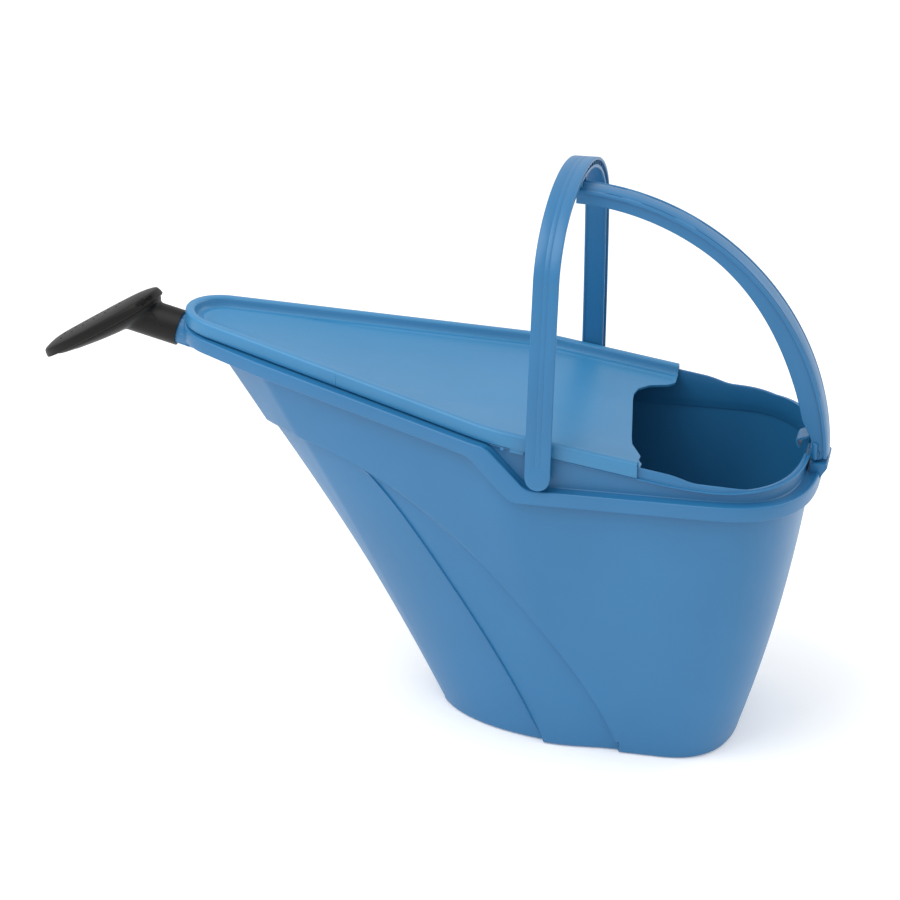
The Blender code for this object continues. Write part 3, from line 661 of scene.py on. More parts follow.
def moulded_plastic(name, tint, roughness, mottle=0.05, grain=0.10, specular=0.5):
    """Satin plastic: faint flow marks in the colour, uneven polish and a fine grain."""
    mat = bpy.data.materials.get(name)
    if mat is not None:
        return mat
    mat = bpy.data.materials.new(name)
    mat.use_nodes = True
    tree = mat.node_tree
    shader = tree.nodes["Principled BSDF"]
    shader.inputs["Specular IOR Level"].default_value = specular
    place = tree.nodes.new("ShaderNodeTexCoord")
    flow = noise(tree, place, FLOW_SCALE, 3.0)
    ramp = tree.nodes.new("ShaderNodeValToRGB")
    ramp.color_ramp.elements[0].position = 0.30
    ramp.color_ramp.elements[1].position = 0.72
    ramp.color_ramp.elements[0].color = (*[c * (1 - mottle) for c in tint], 1.0)
    ramp.color_ramp.elements[1].color = (*[min(c * (1 + mottle), 1.0) for c in tint], 1.0)
    tree.links.new(flow.outputs["Fac"], ramp.inputs["Fac"])
    tree.links.new(ramp.outputs["Color"], shader.inputs["Base Color"])
    polish = noise(tree, place, POLISH_SCALE, 4.0)
    level = add_node(tree, "ShaderNodeMapRange")
    level.inputs["To Min"].default_value = roughness - ROUGHNESS_SWING
    level.inputs["To Max"].default_value = roughness + ROUGHNESS_SWING
    tree.links.new(polish.outputs["Fac"], level.inputs["Value"])
    tree.links.new(level.outputs["Result"], shader.inputs["Roughness"])
    fine = noise(tree, place, GRAIN_SCALE, 2.0)
    wave = noise(tree, place, WAVE_SCALE, 1.0)
    rough_skin = add_node(tree, "ShaderNodeBump", Strength=grain, Distance=0.00010)
    slow_wave = add_node(tree, "ShaderNodeBump", Strength=0.12, Distance=0.0004)
    tree.links.new(wave.outputs["Fac"], slow_wave.inputs["Height"])
    tree.links.new(fine.outputs["Fac"], rough_skin.inputs["Height"])
    tree.links.new(slow_wave.outputs["Normal"], rough_skin.inputs["Normal"])
    tree.links.new(rough_skin.outputs["Normal"], shader.inputs["Normal"])
    return mat


def body_plastic():
    return moulded_plastic("blue_moulding", tuple(bpy.context.scene.can_colours.body), 0.40)


# painted light: a lighter copy of the body's blue plastic, standing in for the extra light that
# falls on the cover from above
def deck_plastic():
    return moulded_plastic("deck_moulding_painted_lighter", tuple(bpy.context.scene.can_colours.deck), 0.38)


def rose_plastic():
    return moulded_plastic("charcoal_moulding", tuple(bpy.context.scene.can_colours.rose), 0.42,
                           mottle=0.12, grain=0.25, specular=0.20)


def seal_rubber():
    return moulded_plastic("seal_rubber", tuple(bpy.context.scene.can_colours.seal), 0.68,
                           mottle=0.20, grain=0.35, specular=0.35)


# ---- bucket ----
def nose_weight(x):
    """1 at the tip of the nose, falling to 0 where the taper is under way."""
    return clamp((NOSE_FACE_X - x) / NOSE_FACE_RUN)


def front_shares(stations):
    """Share of the way along the front of the rim, for each station up to its end."""
    front = [s for s in stations if s[0] <= FRONT_END_X + 1e-6]
    sums = [0.0]
    for a, b in zip(front, front[1:]):
        sums.append(sums[-1] + math.dist(a[:2], b[:2]))
    return [value / sums[-1] for value in sums]


def body_columns():
    """For each column: rim station, point of the base under it, and share of the front."""
    sides = half_rim(REAR_CORNER_X)
    sides = sorted(sides + [side_station(FRONT_END_X)], key=lambda s: (s[0], -s[1]))
    shares = front_shares(sides)
    columns = []
    for index, station in enumerate(sides):
        if index < len(shares):
            turn = math.pi / 2 * shares[index]
            x = soft_max(BASE_MID_X - BASE_FRONT * math.cos(turn), BASE_FLAT_X, TIP_SOFTNESS)
            columns.append((station, (x, -BASE_HALF * math.sin(turn)), shares[index]))
        else:
            run = (station[0] - FRONT_END_X) / (REAR_CORNER_X - FRONT_END_X)
            foot = (BASE_MID_X + (BASE_STRAIGHT_X - BASE_MID_X) * run, -BASE_HALF)
            columns.append((station, foot, 1.0))
    for turn in spread(0.0, math.pi / 2, 48, last=True)[1:]:
        station = rear_station(turn, REAR_CORNER_X, REAR_END_X - REAR_CORNER_X, RIM_HALF)
        x, y, _ = rear_station(turn, BASE_STRAIGHT_X, BASE_REAR, BASE_HALF)
        columns.append((station, (x, y), 1.0))
    return columns


def sweep_z(x):
    """Height of the long sweeping line over x."""
    share = clamp((x - SWEEP_START_X) / (SWEEP_FOOT_X - SWEEP_START_X))
    return SWEEP_TOP_Z * (1.0 - share ** 2) ** 0.75


def branch_z(x):
    """Height of the short line, which leaves the long one and drops more steeply."""
    share = clamp((x - BRANCH_X) / (BRANCH_FOOT_X - BRANCH_X))
    return sweep_z(BRANCH_X) * (1.0 - share ** 1.2) ** 0.8


class Wall:
    """One column of the bucket: everything under, on and inside one rim station."""

    def __init__(self, column, sizes):
        self.station, foot, self.share = column
        self.sizes = sizes
        x = self.station[0]
        nose = nose_weight(x)
        self.out = sizes.band_out * (1 - 0.75 * nose)
        self.open = smooth((x - BAND_OPEN_X) / BAND_OPEN_RUN)
        self.foot = Vector((*foot, 0.0))
        self.top_inset = 0.0010 + sizes.nose_floor * nose
        self.top = Vector((*inset(self.station, self.top_inset), band_z(x)))
        self.bow = sizes.side_bow
        if self.share < 1.0:
            self.bow -= (sizes.side_bow + sizes.nose_bow) * (1 - self.share)
        self.low = sizes.foot / self.top.z
        self.width = sizes.step_width / self.top.z
        self.place_lines()

    def at(self, distance, z):
        return Vector((*inset(self.station, distance), z))

    def raised(self, level):
        """The wall as it would be without the stepped panels in front."""
        point = self.foot.lerp(self.top, level)
        push = self.bow * 4 * level * (1 - level)
        normal = self.station[2]
        return Vector((point.x + normal[0] * push, point.y + normal[1] * push, point.z))

    def crossing(self, line):
        """The level where the wall meets a line, or 0 behind the line's foot."""
        if line(self.foot.x) <= 0.0:
            return 0.0
        low = 0.0
        high = 1.0
        for _ in range(LINE_BISECTIONS):
            middle = (low + high) / 2
            point = self.raised(middle)
            if point.z < line(point.x):
                low = middle
            else:
                high = middle
        return low

    def place_lines(self):
        """Levels of the two lines. Behind their feet they only keep the rows apart."""
        spare = 0.8 / self.top.z
        behind = max(self.foot.x - SWEEP_FOOT_X, 0.0) * spare
        lowest = self.low + 2 * self.width + 0.006
        self.sweep = max(self.crossing(sweep_z), lowest + behind)
        behind = max(self.foot.x - BRANCH_FOOT_X, 0.0) * spare
        behind = min(behind, (self.sweep - lowest) * 0.4)
        branch = max(self.crossing(branch_z), self.low + self.width + 0.002 + behind)
        self.branch = min(branch, self.sweep - self.width - 0.001)

    def panel_depths(self):
        """How far the front panel, and both edges of the middle panel, stand back."""
        step = self.sizes.step
        if self.foot.x >= SWEEP_FOOT_X:
            return 0.0, 0.0, 0.0
        middle_top = step * (0.8 + 0.4 * smooth((self.foot.x - 0.100) / 0.080))
        if self.foot.x >= BRANCH_FOOT_X:
            run = (self.foot.x - BRANCH_FOOT_X) / (SWEEP_FOOT_X - BRANCH_FOOT_X)
            return middle_top * smooth(run), middle_top * smooth(run), middle_top
        front = step * (0.35 + 0.65 * smooth(self.share / 0.35))
        front *= 1.0 + 0.4 * smooth((self.foot.x - 0.020) / 0.100)
        split = smooth((self.raised(self.branch).x - BRANCH_X) / SWEEP_SPLIT)
        return front, front * (1 - split), front + (middle_top - front) * split

    def recess(self, level):
        """How far the wall stands back at a level."""
        front, middle_low, middle_top = self.panel_depths()
        through = (level - self.branch + self.width) / self.width
        over_branch = smooth(through * 1.8)
        over_sweep = smooth((level - self.sweep + self.width) / self.width)
        room = max(self.sweep - self.width - self.branch, 1e-6)
        middle = middle_low + (middle_top - middle_low) * clamp((level - self.branch) / room)
        depth = front + (middle - front) * over_branch
        if self.foot.x < SWEEP_FOOT_X:
            depth += NOSE_STEP * 4 * level * (1 - level) * (1 - self.share) ** 3
        if self.foot.x < BRANCH_FOOT_X:
            grown = smooth((self.raised(self.branch).x - BRANCH_X) / RIDGE_RUN)
            rise = smooth(1 - abs(through - RIDGE_PLACE) / (1 - RIDGE_PLACE))
            depth -= self.sizes.ridge * grown * rise
        return depth * (1 - over_sweep)

    def point(self, level, wall=0.0):
        """A point of the outer face, or of the inner one when the wall's thickness is given."""
        point = self.raised(level)
        back = self.recess(level) + wall
        normal = self.station[2]
        y = min(point.y - normal[1] * back, point.y * KEEL_SHARE)
        return Vector((point.x - normal[0] * back, y, point.z))

    def levels(self):
        """Levels of the rows, close together at both steps."""
        rows = spread(self.low, self.branch - self.width, 20)
        rows += spread(self.branch - self.width, self.branch, 10)
        rows += spread(self.branch, self.sweep - self.width, 12)
        rows += spread(self.sweep - self.width, self.sweep, 4)
        return rows + spread(self.sweep, 1.0, 20, last=True)

    def base(self, lift=0.0):
        """From the middle of the base to the foot of the wall, rounded at the edge."""
        edge = self.point(self.low, lift)
        middle = Vector((BASE_MID_X, 0.0, lift))
        flat = Vector((edge.x - BASE_MID_X, edge.y, 0.0))
        reach = flat.length
        radius = self.sizes.foot
        marks = [(0.3, 0.0), (0.6, 0.0)]
        if lift == 0.0:
            ring = 1 - FOOT_RING / reach
            marks += [(ring - 0.005 / reach, 0.0), (ring - 0.003 / reach, FOOT_GROOVE),
                      (ring, FOOT_GROOVE), (ring + 0.002 / reach, 0.0)]
        rows = [middle + flat * share + Vector((0.0, 0.0, rise)) for share, rise in marks]
        for turn in spread(0.0, math.pi / 2, 4):
            back = radius * (1 - math.sin(turn)) / reach
            rise = radius * (1 - math.cos(turn))
            rows.append(middle + flat * (1 - back) + Vector((0.0, 0.0, rise)))
        return rows

    def band(self):
        """Under the flange, down inside the band, round it and up to the ledge."""
        x = self.station[0]
        low = band_z(x)
        ledge = ledge_z(x)
        roof = low + 0.0004 + (ledge - BAND_SKIN - low - 0.0004) * self.open
        inner = BAND_SKIN - self.out
        rows = [self.at(self.top_inset + 0.0002, roof - 0.0001),
                self.at((self.top_inset + inner) / 2, roof),
                self.at(inner, roof - 0.0001), self.at(inner, low + 0.0002)]
        bottom = arc((0.0010 - self.out, low + 0.0010), 0.0010, 270, 180, 3)
        shoulder = arc((0.0014 - self.out, ledge - 0.0014), 0.0014, 180, 90, 5)
        rows += [self.at(distance, z) for distance, z in bottom]
        rows.append(self.at(-self.out, (low + ledge) / 2))
        return rows + [self.at(distance, z) for distance, z in shoulder]

    def neck(self):
        """Over the ledge and its groove, up the neck, round the bead and over the lip."""
        x = self.station[0]
        ledge = ledge_z(x)
        bead = flange_z(x)
        lip = lip_z(x)
        tall = min(0.0020, (bead - ledge) * 0.45)
        marks = [(0.0026 - self.out, ledge), (0.0034 - self.out, ledge - 0.0007),
                 (-0.0004, ledge - 0.0007), (0.0008, ledge - 0.0001)]
        for distance, z in arc((0.0023, ledge + 0.0011), 0.0012, 270, 360, 3):
            marks.append((distance, min(z, bead - tall * 1.05)))
        marks += [(0.0034, bead - tall), (0.0014, bead - tall * 0.8),
                  (0.0003, bead - tall * 0.45), (0.0007, bead - tall * 0.1), (0.0016, bead),
                  (0.0028, bead + 0.0001), (0.0031, bead + 0.0006)]
        for distance, z in arc((0.0042, lip - 0.0011), 0.0011, 180, 0, 6):
            marks.append((distance, max(z, bead + 0.0008)))
        marks.append((0.0054, bead))
        return [self.at(distance, z) for distance, z in marks]

    def inside(self):
        """Down inside the mouth and the wall to the inner floor."""
        wall = self.sizes.wall
        low = band_z(self.station[0]) + wall
        top = self.at(0.0057, ledge_z(self.station[0]) - 0.0010)
        shelf = self.at(0.0057 - 0.0015 * self.open, low)
        rows = [top, top.lerp(shelf, 0.5), shelf,
                self.at(self.top_inset + wall, low - 0.0004)]
        start = (wall + self.sizes.foot) / self.top.z
        for level in reversed(self.levels()[::2]):
            share = (level - self.low) / (1 - self.low)
            level += (start - self.low) * (1 - share) ** 8 - 0.01 * share ** 8
            rows.append(self.point(level, wall))
        return rows

    def strip(self):
        """All points of the column, in order, always the same number of them."""
        outer = [self.point(level) for level in self.levels()]
        inner_base = list(reversed(self.base(self.sizes.wall)))
        return self.base() + outer + self.band() + self.neck() + self.inside() + inner_base


def bucket_mesh(sizes):
    """The moulded bucket as one closed skin."""
    strips = [Wall(column, sizes).strip() for column in body_columns()]
    middle = Vector((BASE_MID_X, 0.0, 0.0))
    rows = [[middle]]
    for near in zip(*strips):
        near = list(near)
        rows.append(near + list(reversed(mirrored(near)))[1:-1])
    rows.append([middle + Vector((0.0, 0.0, sizes.wall))])
    return loft("can_shell", rows)


def gusset_meshes(sizes):
    """Thin ribs between the wall and the band, along both sides."""
    meshes = []
    for x in spread(-0.030, REAR_CORNER_X, sizes.gussets, last=True):
        station = side_station(x)
        for side in (-1.0, 1.0):
            low = band_z(x) + 0.0012
            high = ledge_z(x) - BAND_SKIN + 0.0004
            y_out = station[1] - sizes.band_out + 0.0006 + 0.0008
            y_in = station[1] + 0.0026
            near, far = sorted((-side * y_out, -side * y_in))
            meshes.append(block((x - 0.0008, near, low), (x + 0.0008, far, high)))
    return meshes


def stub_ribs():
    """Short ribs along the root of the spout stub."""
    across = Vector((0.0, 1.0, 0.0))
    upward = SPOUT_AXIS.cross(across).normalized()
    meshes = []
    for degrees in range(0, 360, 45):
        turn = math.radians(degrees)
        out = across * math.cos(turn) + upward * math.sin(turn)
        start = on_spout(ROOT_RIB_START) + out * (STUB_RADIUS - 0.0006)
        end = on_spout(ROOT_RIB_END) + out * (STUB_RADIUS - 0.0006)
        meshes.append(rod(start, end, 0.0016, 10, 0.0009))
    return meshes


class WATERINGCAN_OT_bucket(bpy.types.Operator):
    """Build the bucket with its band, sweeping panels, spout stub and hinge bracket"""
    bl_idname = "wateringcan.bucket"
    bl_label = "Bucket"

    def execute(self, context):
        sizes = context.scene.can_sizes
        can = link("can_shell", bucket_mesh(sizes))
        root = on_spout(-STUB_ROOT)
        tip = on_spout(STUB_LENGTH)
        combine(can, rod(root, tip, STUB_RADIUS, 56, edge=0.0006), "UNION")
        combine(can, rod(root - SPOUT_AXIS * BORE_PAST_ROOT, tip + SPOUT_AXIS * 0.01,
                         STUB_BORE, 56), "DIFFERENCE")
        combine(can, bracket_mesh(), "UNION")
        lug_low = (ARM_PIVOT.x - LUG_RADIUS, -LUG_HALF, LEDGE_FLAT_Z - 0.0010)
        lug_high = (ARM_PIVOT.x + LUG_RADIUS, LUG_HALF, ARM_PIVOT.z)
        combine(can, block(lug_low, lug_high), "UNION")
        combine(can, rod_across(ARM_PIVOT, LUG_HALF, LUG_RADIUS, 40), "UNION")
        notch_low = (NOTCH_FRONT_X, -BRACKET_HALF, NOTCH_LOW_Z)
        notch_high = (ARM_PIVOT.x - LUG_RADIUS - 0.0001, BRACKET_HALF, NOTCH_HIGH_Z)
        combine(can, block(notch_low, notch_high), "DIFFERENCE")
        combine(can, rod_across(ARM_PIVOT, 0.03, ARM_HOLE), "DIFFERENCE")
        combine(can, rod_across(BAIL_PIVOT, 0.15, BAIL_HOLE), "DIFFERENCE")
        can.data = join("can_shell", [can.data] + gusset_meshes(sizes) + stub_ribs()
                        + neck_ribs())
        finished(can, body_plastic(), "can", "body_plastic", "can_body")
        return {"FINISHED"}


def bracket_mesh():
    """The block behind the rear rim, its lower corner cut back to the band."""
    front = REAR_END_X - 0.0005
    back = CAN_HIGH.x
    outline = [(front, BRACKET_LOW_Z), (back - BRACKET_CUT_X, BRACKET_LOW_Z),
               (back, BRACKET_CUT_Z), (back, BRACKET_TOP_Z - 0.0010),
               (back - 0.0010, BRACKET_TOP_Z), (front, BRACKET_TOP_Z)]
    rows = [[(x, y, z) for x, z in outline] for y in (-BRACKET_HALF, BRACKET_HALF)]
    return loft("bracket", rows, caps=True)


def neck_ribs():
    """A slanting rib in the pocket ahead of each bail foot."""
    meshes = []
    for side in (-1.0, 1.0):
        y = side * (RIM_HALF - 0.0032)
        start, end = [Vector((x, y, z)) for x, z in POCKET_RIB]
        meshes.append(rod(start, end, 0.0011, 12))
    return meshes


# ---- cover ----
def panel_point(x, y, drop, sizes):
    """A point of the panel: shallower at the nose, its rear edge drawn forward."""
    drop *= 1.0 - 0.2 * smooth((-0.050 - x) / 0.100)
    if x > PANEL_BEND_X:
        over = clamp((abs(y) - sizes.edge_half) / sizes.edge_corner)
        edge = sizes.edge_x + (DECK_REAR_X - sizes.edge_x) * over * over
        share = (x - PANEL_BEND_X) / (DECK_REAR_X - PANEL_BEND_X)
        x = PANEL_BEND_X + (edge - PANEL_BEND_X) * share
    return Vector((x, y, deck_z(x) - drop))


def askew(point, sizes):
    """Shift that sets one end of the panel's free edge further back than the other."""
    share = smooth((point.x - PANEL_BEND_X) / (sizes.edge_x - PANEL_BEND_X))
    fade = 1 - smooth((abs(point.y) - SKEW_HALF) / SKEW_FADE)
    shift = -sizes.edge_skew * point.y * share * fade
    return Vector((shift, 0.0, DECK_SLOPE * shift))


def deck_profile(sizes):
    """Inset and drop of the rim's outer face, from the skirt's edge to the ledge inside."""
    rim = sizes.rim
    profile = [(0.0, SKIRT_DROP), (0.0, 0.0090), (0.0, 0.0060), (0.0, 0.0032)]
    profile += [(0.0026 + u, 0.0026 - v) for u, v in arc((0.0, 0.0), 0.0026, 170, 100, 4)]
    profile += [(0.0030, 0.0), (rim * 0.5, -0.0002), (rim - 0.0026, 0.0)]
    profile += [(rim - 0.0022 + u, 0.0022 - v) for u, v in arc((0.0, 0.0), 0.0022, 75, 10, 4)]
    profile += [(rim + 0.0002, 0.0042), (rim + 0.0007, 0.0064), (rim + 0.0014, 0.0078)]
    profile += [(rim + 0.0026, 0.0085), (rim + 0.0046, 0.0087), (rim + 0.0056, 0.0084)]
    return profile + [(rim + 0.0064, 0.0085), (rim + DECK_INSET, PANEL_DROP)]


def deck_column(station, sizes):
    points = []
    for distance, drop in deck_profile(sizes):
        x, y = inset(station, distance)
        points.append(Vector((x, y, deck_z(x) - drop)))
    x, y = inset(station, sizes.rim + DECK_INSET)
    spine_x = max(x, NOSE_X - 0.010)
    points[-1] = panel_point(x, y, PANEL_DROP, sizes)
    for share in PANEL_SHARES:
        drop = PANEL_DROP + (sizes.dish - PANEL_DROP) * smooth(share * 1.25) ** 0.7
        points.append(panel_point(x + (spine_x - x) * share, y * (1 - share), drop, sizes))
    return points


def deck_mesh(sizes):
    near = [deck_column(station, sizes) for station in reversed(half_rim(DECK_REAR_X))]
    rows = []
    for points in zip(*near):
        points = list(points)
        rows.append(points + list(reversed(mirrored(points)))[1:])
    mesh = loft("deck_cover_shell", rows, closed_rows=False)
    for vertex in mesh.vertices:
        vertex.co += askew(vertex.co, sizes)
    if sum(face.normal.z for face in mesh.polygons) < 0:
        mesh.flip_normals()
    return mesh


def clip_meshes():
    """The small catches under the skirt, ahead of each bail foot, and a rib on the skirt."""
    meshes = []
    for side in (-1.0, 1.0):
        near, far = sorted((side * (RIM_HALF - 0.0004), side * (RIM_HALF - 0.0028)))
        skirt = deck_z(0.100) - SKIRT_DROP
        meshes.append(block((CLIP_FRONT_X, near, skirt - 0.0040),
                            (CLIP_REAR_X, far, skirt + 0.0010),
                            0.0005, tilt=math.atan(-DECK_SLOPE)))
        peg_z = skirt - 0.0006
        meshes.append(rod((CLIP_PEG_X, near, peg_z), (CLIP_PEG_X, far, peg_z), 0.0016, 20,
                          edge=0.0004))
        x, y, normal = side_station(SKIRT_RIB_X)
        low = deck_z(x) - SKIRT_DROP + 0.0004
        out = Vector((normal[0], side * abs(normal[1]), 0.0))
        start = Vector((x, side * abs(y), low)) - out * 0.0003
        end = start + Vector((0.0015, 0.0, 0.0098))
        meshes.append(rod(start, end, 0.0011, 12, edge=0.0003))
    return meshes


class WATERINGCAN_OT_cover(bpy.types.Operator):
    """Build the cover: rolled rim, skirt and dished panel, open at the rear"""
    bl_idname = "wateringcan.cover"
    bl_label = "Cover"

    def execute(self, context):
        sizes = context.scene.deck_sizes
        deck = link("deck_shell", deck_mesh(sizes))
        mod = deck.modifiers.new("skin", "SOLIDIFY")
        mod.thickness = sizes.skin
        mod.offset = -1.0
        mod.use_even_offset = True
        bake(deck)
        bevelled(deck, 0.0005, 62.0)
        deck.data = join("deck_shell", [deck.data] + clip_meshes())
        # the cover gets the body's plastic painted lighter, as painted light from above
        finished(deck, deck_plastic(), "can", "deck_plastic", "deck_cover", sharp=50.0)
        return {"FINISHED"}


# ---- bail ----
def bail_frame(share):
    """Outer-face point and inward direction of the arch; share runs foot to foot."""
    side = -1.0 if share < 0.5 else 1.0
    along = share * 2 if share < 0.5 else (1 - share) * 2
    top = BAIL_HIGH.z - BAIL_PIVOT.z
    foot_y = BAIL_HIGH.y
    if along < LEG_PART:
        t = along / LEG_PART
        y = foot_y + (SHOULDER_Y - foot_y) * t ** LEG_POWER
        h = SHOULDER_H * t
        lean = LEG_POWER * t ** (LEG_POWER - 1)
        slope = Vector(((SHOULDER_Y - foot_y) * lean, SHOULDER_H)).normalized()
        inward = Vector((-slope.y, slope.x))
    else:
        turn = math.pi / 2 * (along - LEG_PART) / (1 - LEG_PART)
        rise = top - SHOULDER_H
        y = SHOULDER_Y * math.cos(turn)
        h = SHOULDER_H + rise * math.sin(turn)
        inward = -Vector((math.cos(turn) / SHOULDER_Y, math.sin(turn) / rise)).normalized()
    centre = Vector((BAIL_PIVOT.x + BAIL_LEAN * h, side * y, BAIL_PIVOT.z + h))
    return centre, Vector((0.0, side * inward.x, inward.y))


def on_bail(share, profile):
    """A cross-section of the bail, given as (across, depth) points."""
    centre, inward = bail_frame(share)
    return [centre + Vector((across, 0.0, 0.0)) + inward * depth for across, depth in profile]


def strap_profile(half, near, far, round_off=0.0008, lines=0.0):
    """A flat strap with rounded edges and, when asked for, two fine lines down the middle."""
    profile = arc((-half + round_off, near + round_off), round_off, 180, 270, 3)
    if lines:
        for middle in (-0.0021, 0.0021):
            profile += [(middle - 0.0005, near), (middle, near + lines), (middle + 0.0005, near)]
    profile += arc((half - round_off, near + round_off), round_off, 270, 360, 3)
    profile += arc((half - round_off, far - round_off), round_off, 0, 90, 3)
    return profile + arc((-half + round_off, far - round_off), round_off, 90, 180, 3)


def inner_strap_profile(half, depth):
    """The inner strap, with a raised border along both edges."""
    low = depth - 0.0018
    high = depth + 0.0007
    border = half - 0.0016
    return [(-half, low), (half, low), (half, high - 0.0003), (half - 0.0003, high),
            (border + 0.0003, high), (border, high - 0.0005), (border - 0.0004, depth - 0.0002),
            (-border + 0.0004, depth - 0.0002), (-border, high - 0.0005),
            (-border - 0.0003, high), (-half + 0.0003, high), (-half, high - 0.0003)]


def web_profile(half, sizes):
    """What stands between the two straps: the web, and each cross rib."""
    near = sizes.skin - 0.0003
    far = sizes.depth - 0.0015
    return [(-half, near), (half, near), (half, far), (-half, far)]


def rib_shares(sizes):
    """Where the cross ribs stand: sparse in the legs, close together under the crown."""
    shares = []
    travelled = 0.0
    last = bail_frame(0.0)[0]
    for step in range(1, 800):
        share = step / 800
        point = bail_frame(share)[0]
        travelled += (point - last).length
        last = point
        crown = abs(share - 0.5) < CROWN_PART
        if travelled > (sizes.crown_rib if crown else sizes.leg_rib):
            shares.append(share)
            travelled = 0.0
    return shares


def cross_rib(share, sizes):
    step = 0.0008
    tangent = (bail_frame(min(share + 0.002, 1.0))[0] - bail_frame(share - 0.002)[0]).normalized()
    ring = on_bail(share, web_profile(sizes.inner_width / 2 - 0.0004, sizes))
    return loft("rib", [[p - tangent * step for p in ring], [p + tangent * step for p in ring]],
                caps=True)


def bail_foot(side, sizes):
    """A round foot with its blind hole for the pin."""
    outer = Vector((BAIL_PIVOT.x, side * BAIL_HIGH.y, BAIL_PIVOT.z))
    inner = Vector((BAIL_PIVOT.x, side * (BAIL_HIGH.y - sizes.depth), BAIL_PIVOT.z))
    hole_start = inner - Vector((0.0, side * 0.01, 0.0))
    hole_end = outer - Vector((0.0, side * FOOT_COVER, 0.0))
    return drilled(rod(inner, outer, sizes.foot, 56, edge=0.0009),
                   rod(hole_start, hole_end, BAIL_HOLE))


def catch_lug(side):
    """One of the two lugs under the crown that hold the catch pin."""
    middle = (PIN_LOW + PIN_HIGH) / 2
    low = (middle.x - CATCH_LUG_HALF, side * CATCH_LUG_Y - 0.0012, middle.z - 0.0029)
    high = (middle.x + CATCH_LUG_HALF, side * CATCH_LUG_Y + 0.0012, BAIL_HIGH.z - 0.0072)
    return drilled(block(low, high, 0.0005), rod_across(middle, 0.02, CATCH_HOLE, 24))


class WATERINGCAN_OT_bail(bpy.types.Operator):
    """Build the carrying bail: two straps, their web, the ribs between them and the feet"""
    bl_idname = "wateringcan.bail"
    bl_label = "Bail"

    def execute(self, context):
        sizes = context.scene.bail_sizes
        outer = strap_profile(sizes.width / 2, 0.0, sizes.skin, lines=0.00025)
        inner = inner_strap_profile(sizes.inner_width / 2, sizes.depth)
        web = web_profile(0.0011, sizes)
        shares = spread(0.0, 1.0, ARCH_PARTS, last=True)
        meshes = []
        for profile in (outer, inner, web):
            meshes.append(bar(lambda share, p=profile: on_bail(share, p), shares))
        meshes += [cross_rib(share, sizes) for share in rib_shares(sizes)]
        meshes += [bail_foot(-1.0, sizes), bail_foot(1.0, sizes)]
        meshes += [catch_lug(-1.0), catch_lug(1.0)]
        bail = link("bail_shell", join("bail_shell", meshes))
        finished(bail, body_plastic(), "bail", "body_plastic", "bail")
        return {"FINISHED"}


# ---- pouring arm ----
def groove_depth(angle, sizes):
    """The grooves along the top are deep in three runs and stop at bridges between them."""
    depth = 0.15
    for start, end in GROOVE_RUNS:
        middle = (start + end) / 2
        half = abs(start - end) / 2
        depth = max(depth, smooth((half - abs(angle - middle)) / 0.6))
    return sizes.groove * depth


def arm_section(angle, sizes):
    """Channel section of the arm at an angle round the bail's pivot, 0 at the rear."""
    turn = math.radians(angle)
    share = max(0.0, (90.0 - angle) / 90.0)
    top = ARM_HIGH.z - BAIL_PIVOT.z
    radius = top + ARM_FOOT_GROW * share ** 2.2
    half = sizes.half + (sizes.foot_half - sizes.half) * share ** 2
    wide = half + sizes.flange
    thin = half - sizes.skin * 0.9
    groove = groove_depth(angle, sizes)
    depth = sizes.depth + sizes.foot_depth * smooth((55 - angle) / 40) * smooth((angle - 1) / 7)
    near = [(-wide, 0.0016), (-wide + 0.0002, 0.0006), (-wide + 0.0008, -0.0002),
            (-wide + 0.0016, -0.0003), (-wide + 0.0024, 0.0002), (-wide + 0.0028, groove),
            (-wide + 0.0048, groove), (-wide + 0.0053, 0.0000), (-wide + 0.0064, -0.0005),
            (-half * 0.35, -0.0011), (0.0, -0.0012)]
    skin = sizes.skin
    under = [(wide, skin - 0.0002), (wide - 0.0003, skin), (half, skin + 0.0002),
             (half, depth - 0.0004), (half - 0.0004, depth), (thin + 0.0004, depth),
             (thin, depth - 0.0004), (thin, skin + 0.0006)]
    profile = near + [(-y, d) for y, d in reversed(near[:-1])] + under
    profile += [(-y, d) for y, d in reversed(under)]
    out = Vector((math.cos(turn), 0.0, math.sin(turn)))
    centre = Vector((BAIL_PIVOT.x, 0.0, BAIL_PIVOT.z))
    return [centre + out * (radius - d) + Vector((0.0, y, 0.0)) for y, d in profile]


def tongue_mesh(sizes):
    """The curled tongue at the foot of the arm, over the inside of the mouth's rim."""
    path = [Vector((x, 0.0, z)) for x, z in TONGUE_PATH]
    across = Vector((0.0, sizes.foot_half - TONGUE_IN, 0.0))
    rows = []
    for index, point in enumerate(path):
        ahead = path[min(index + 1, len(path) - 1)]
        behind = path[max(index - 1, 0)]
        along = (ahead - behind).normalized()
        side = Vector((along.z, 0.0, -along.x)) * TONGUE_HALF
        rows.append([point - across - side, point + across - side,
                     point + across + side, point - across + side])
    return loft("tongue", rows, caps=True)


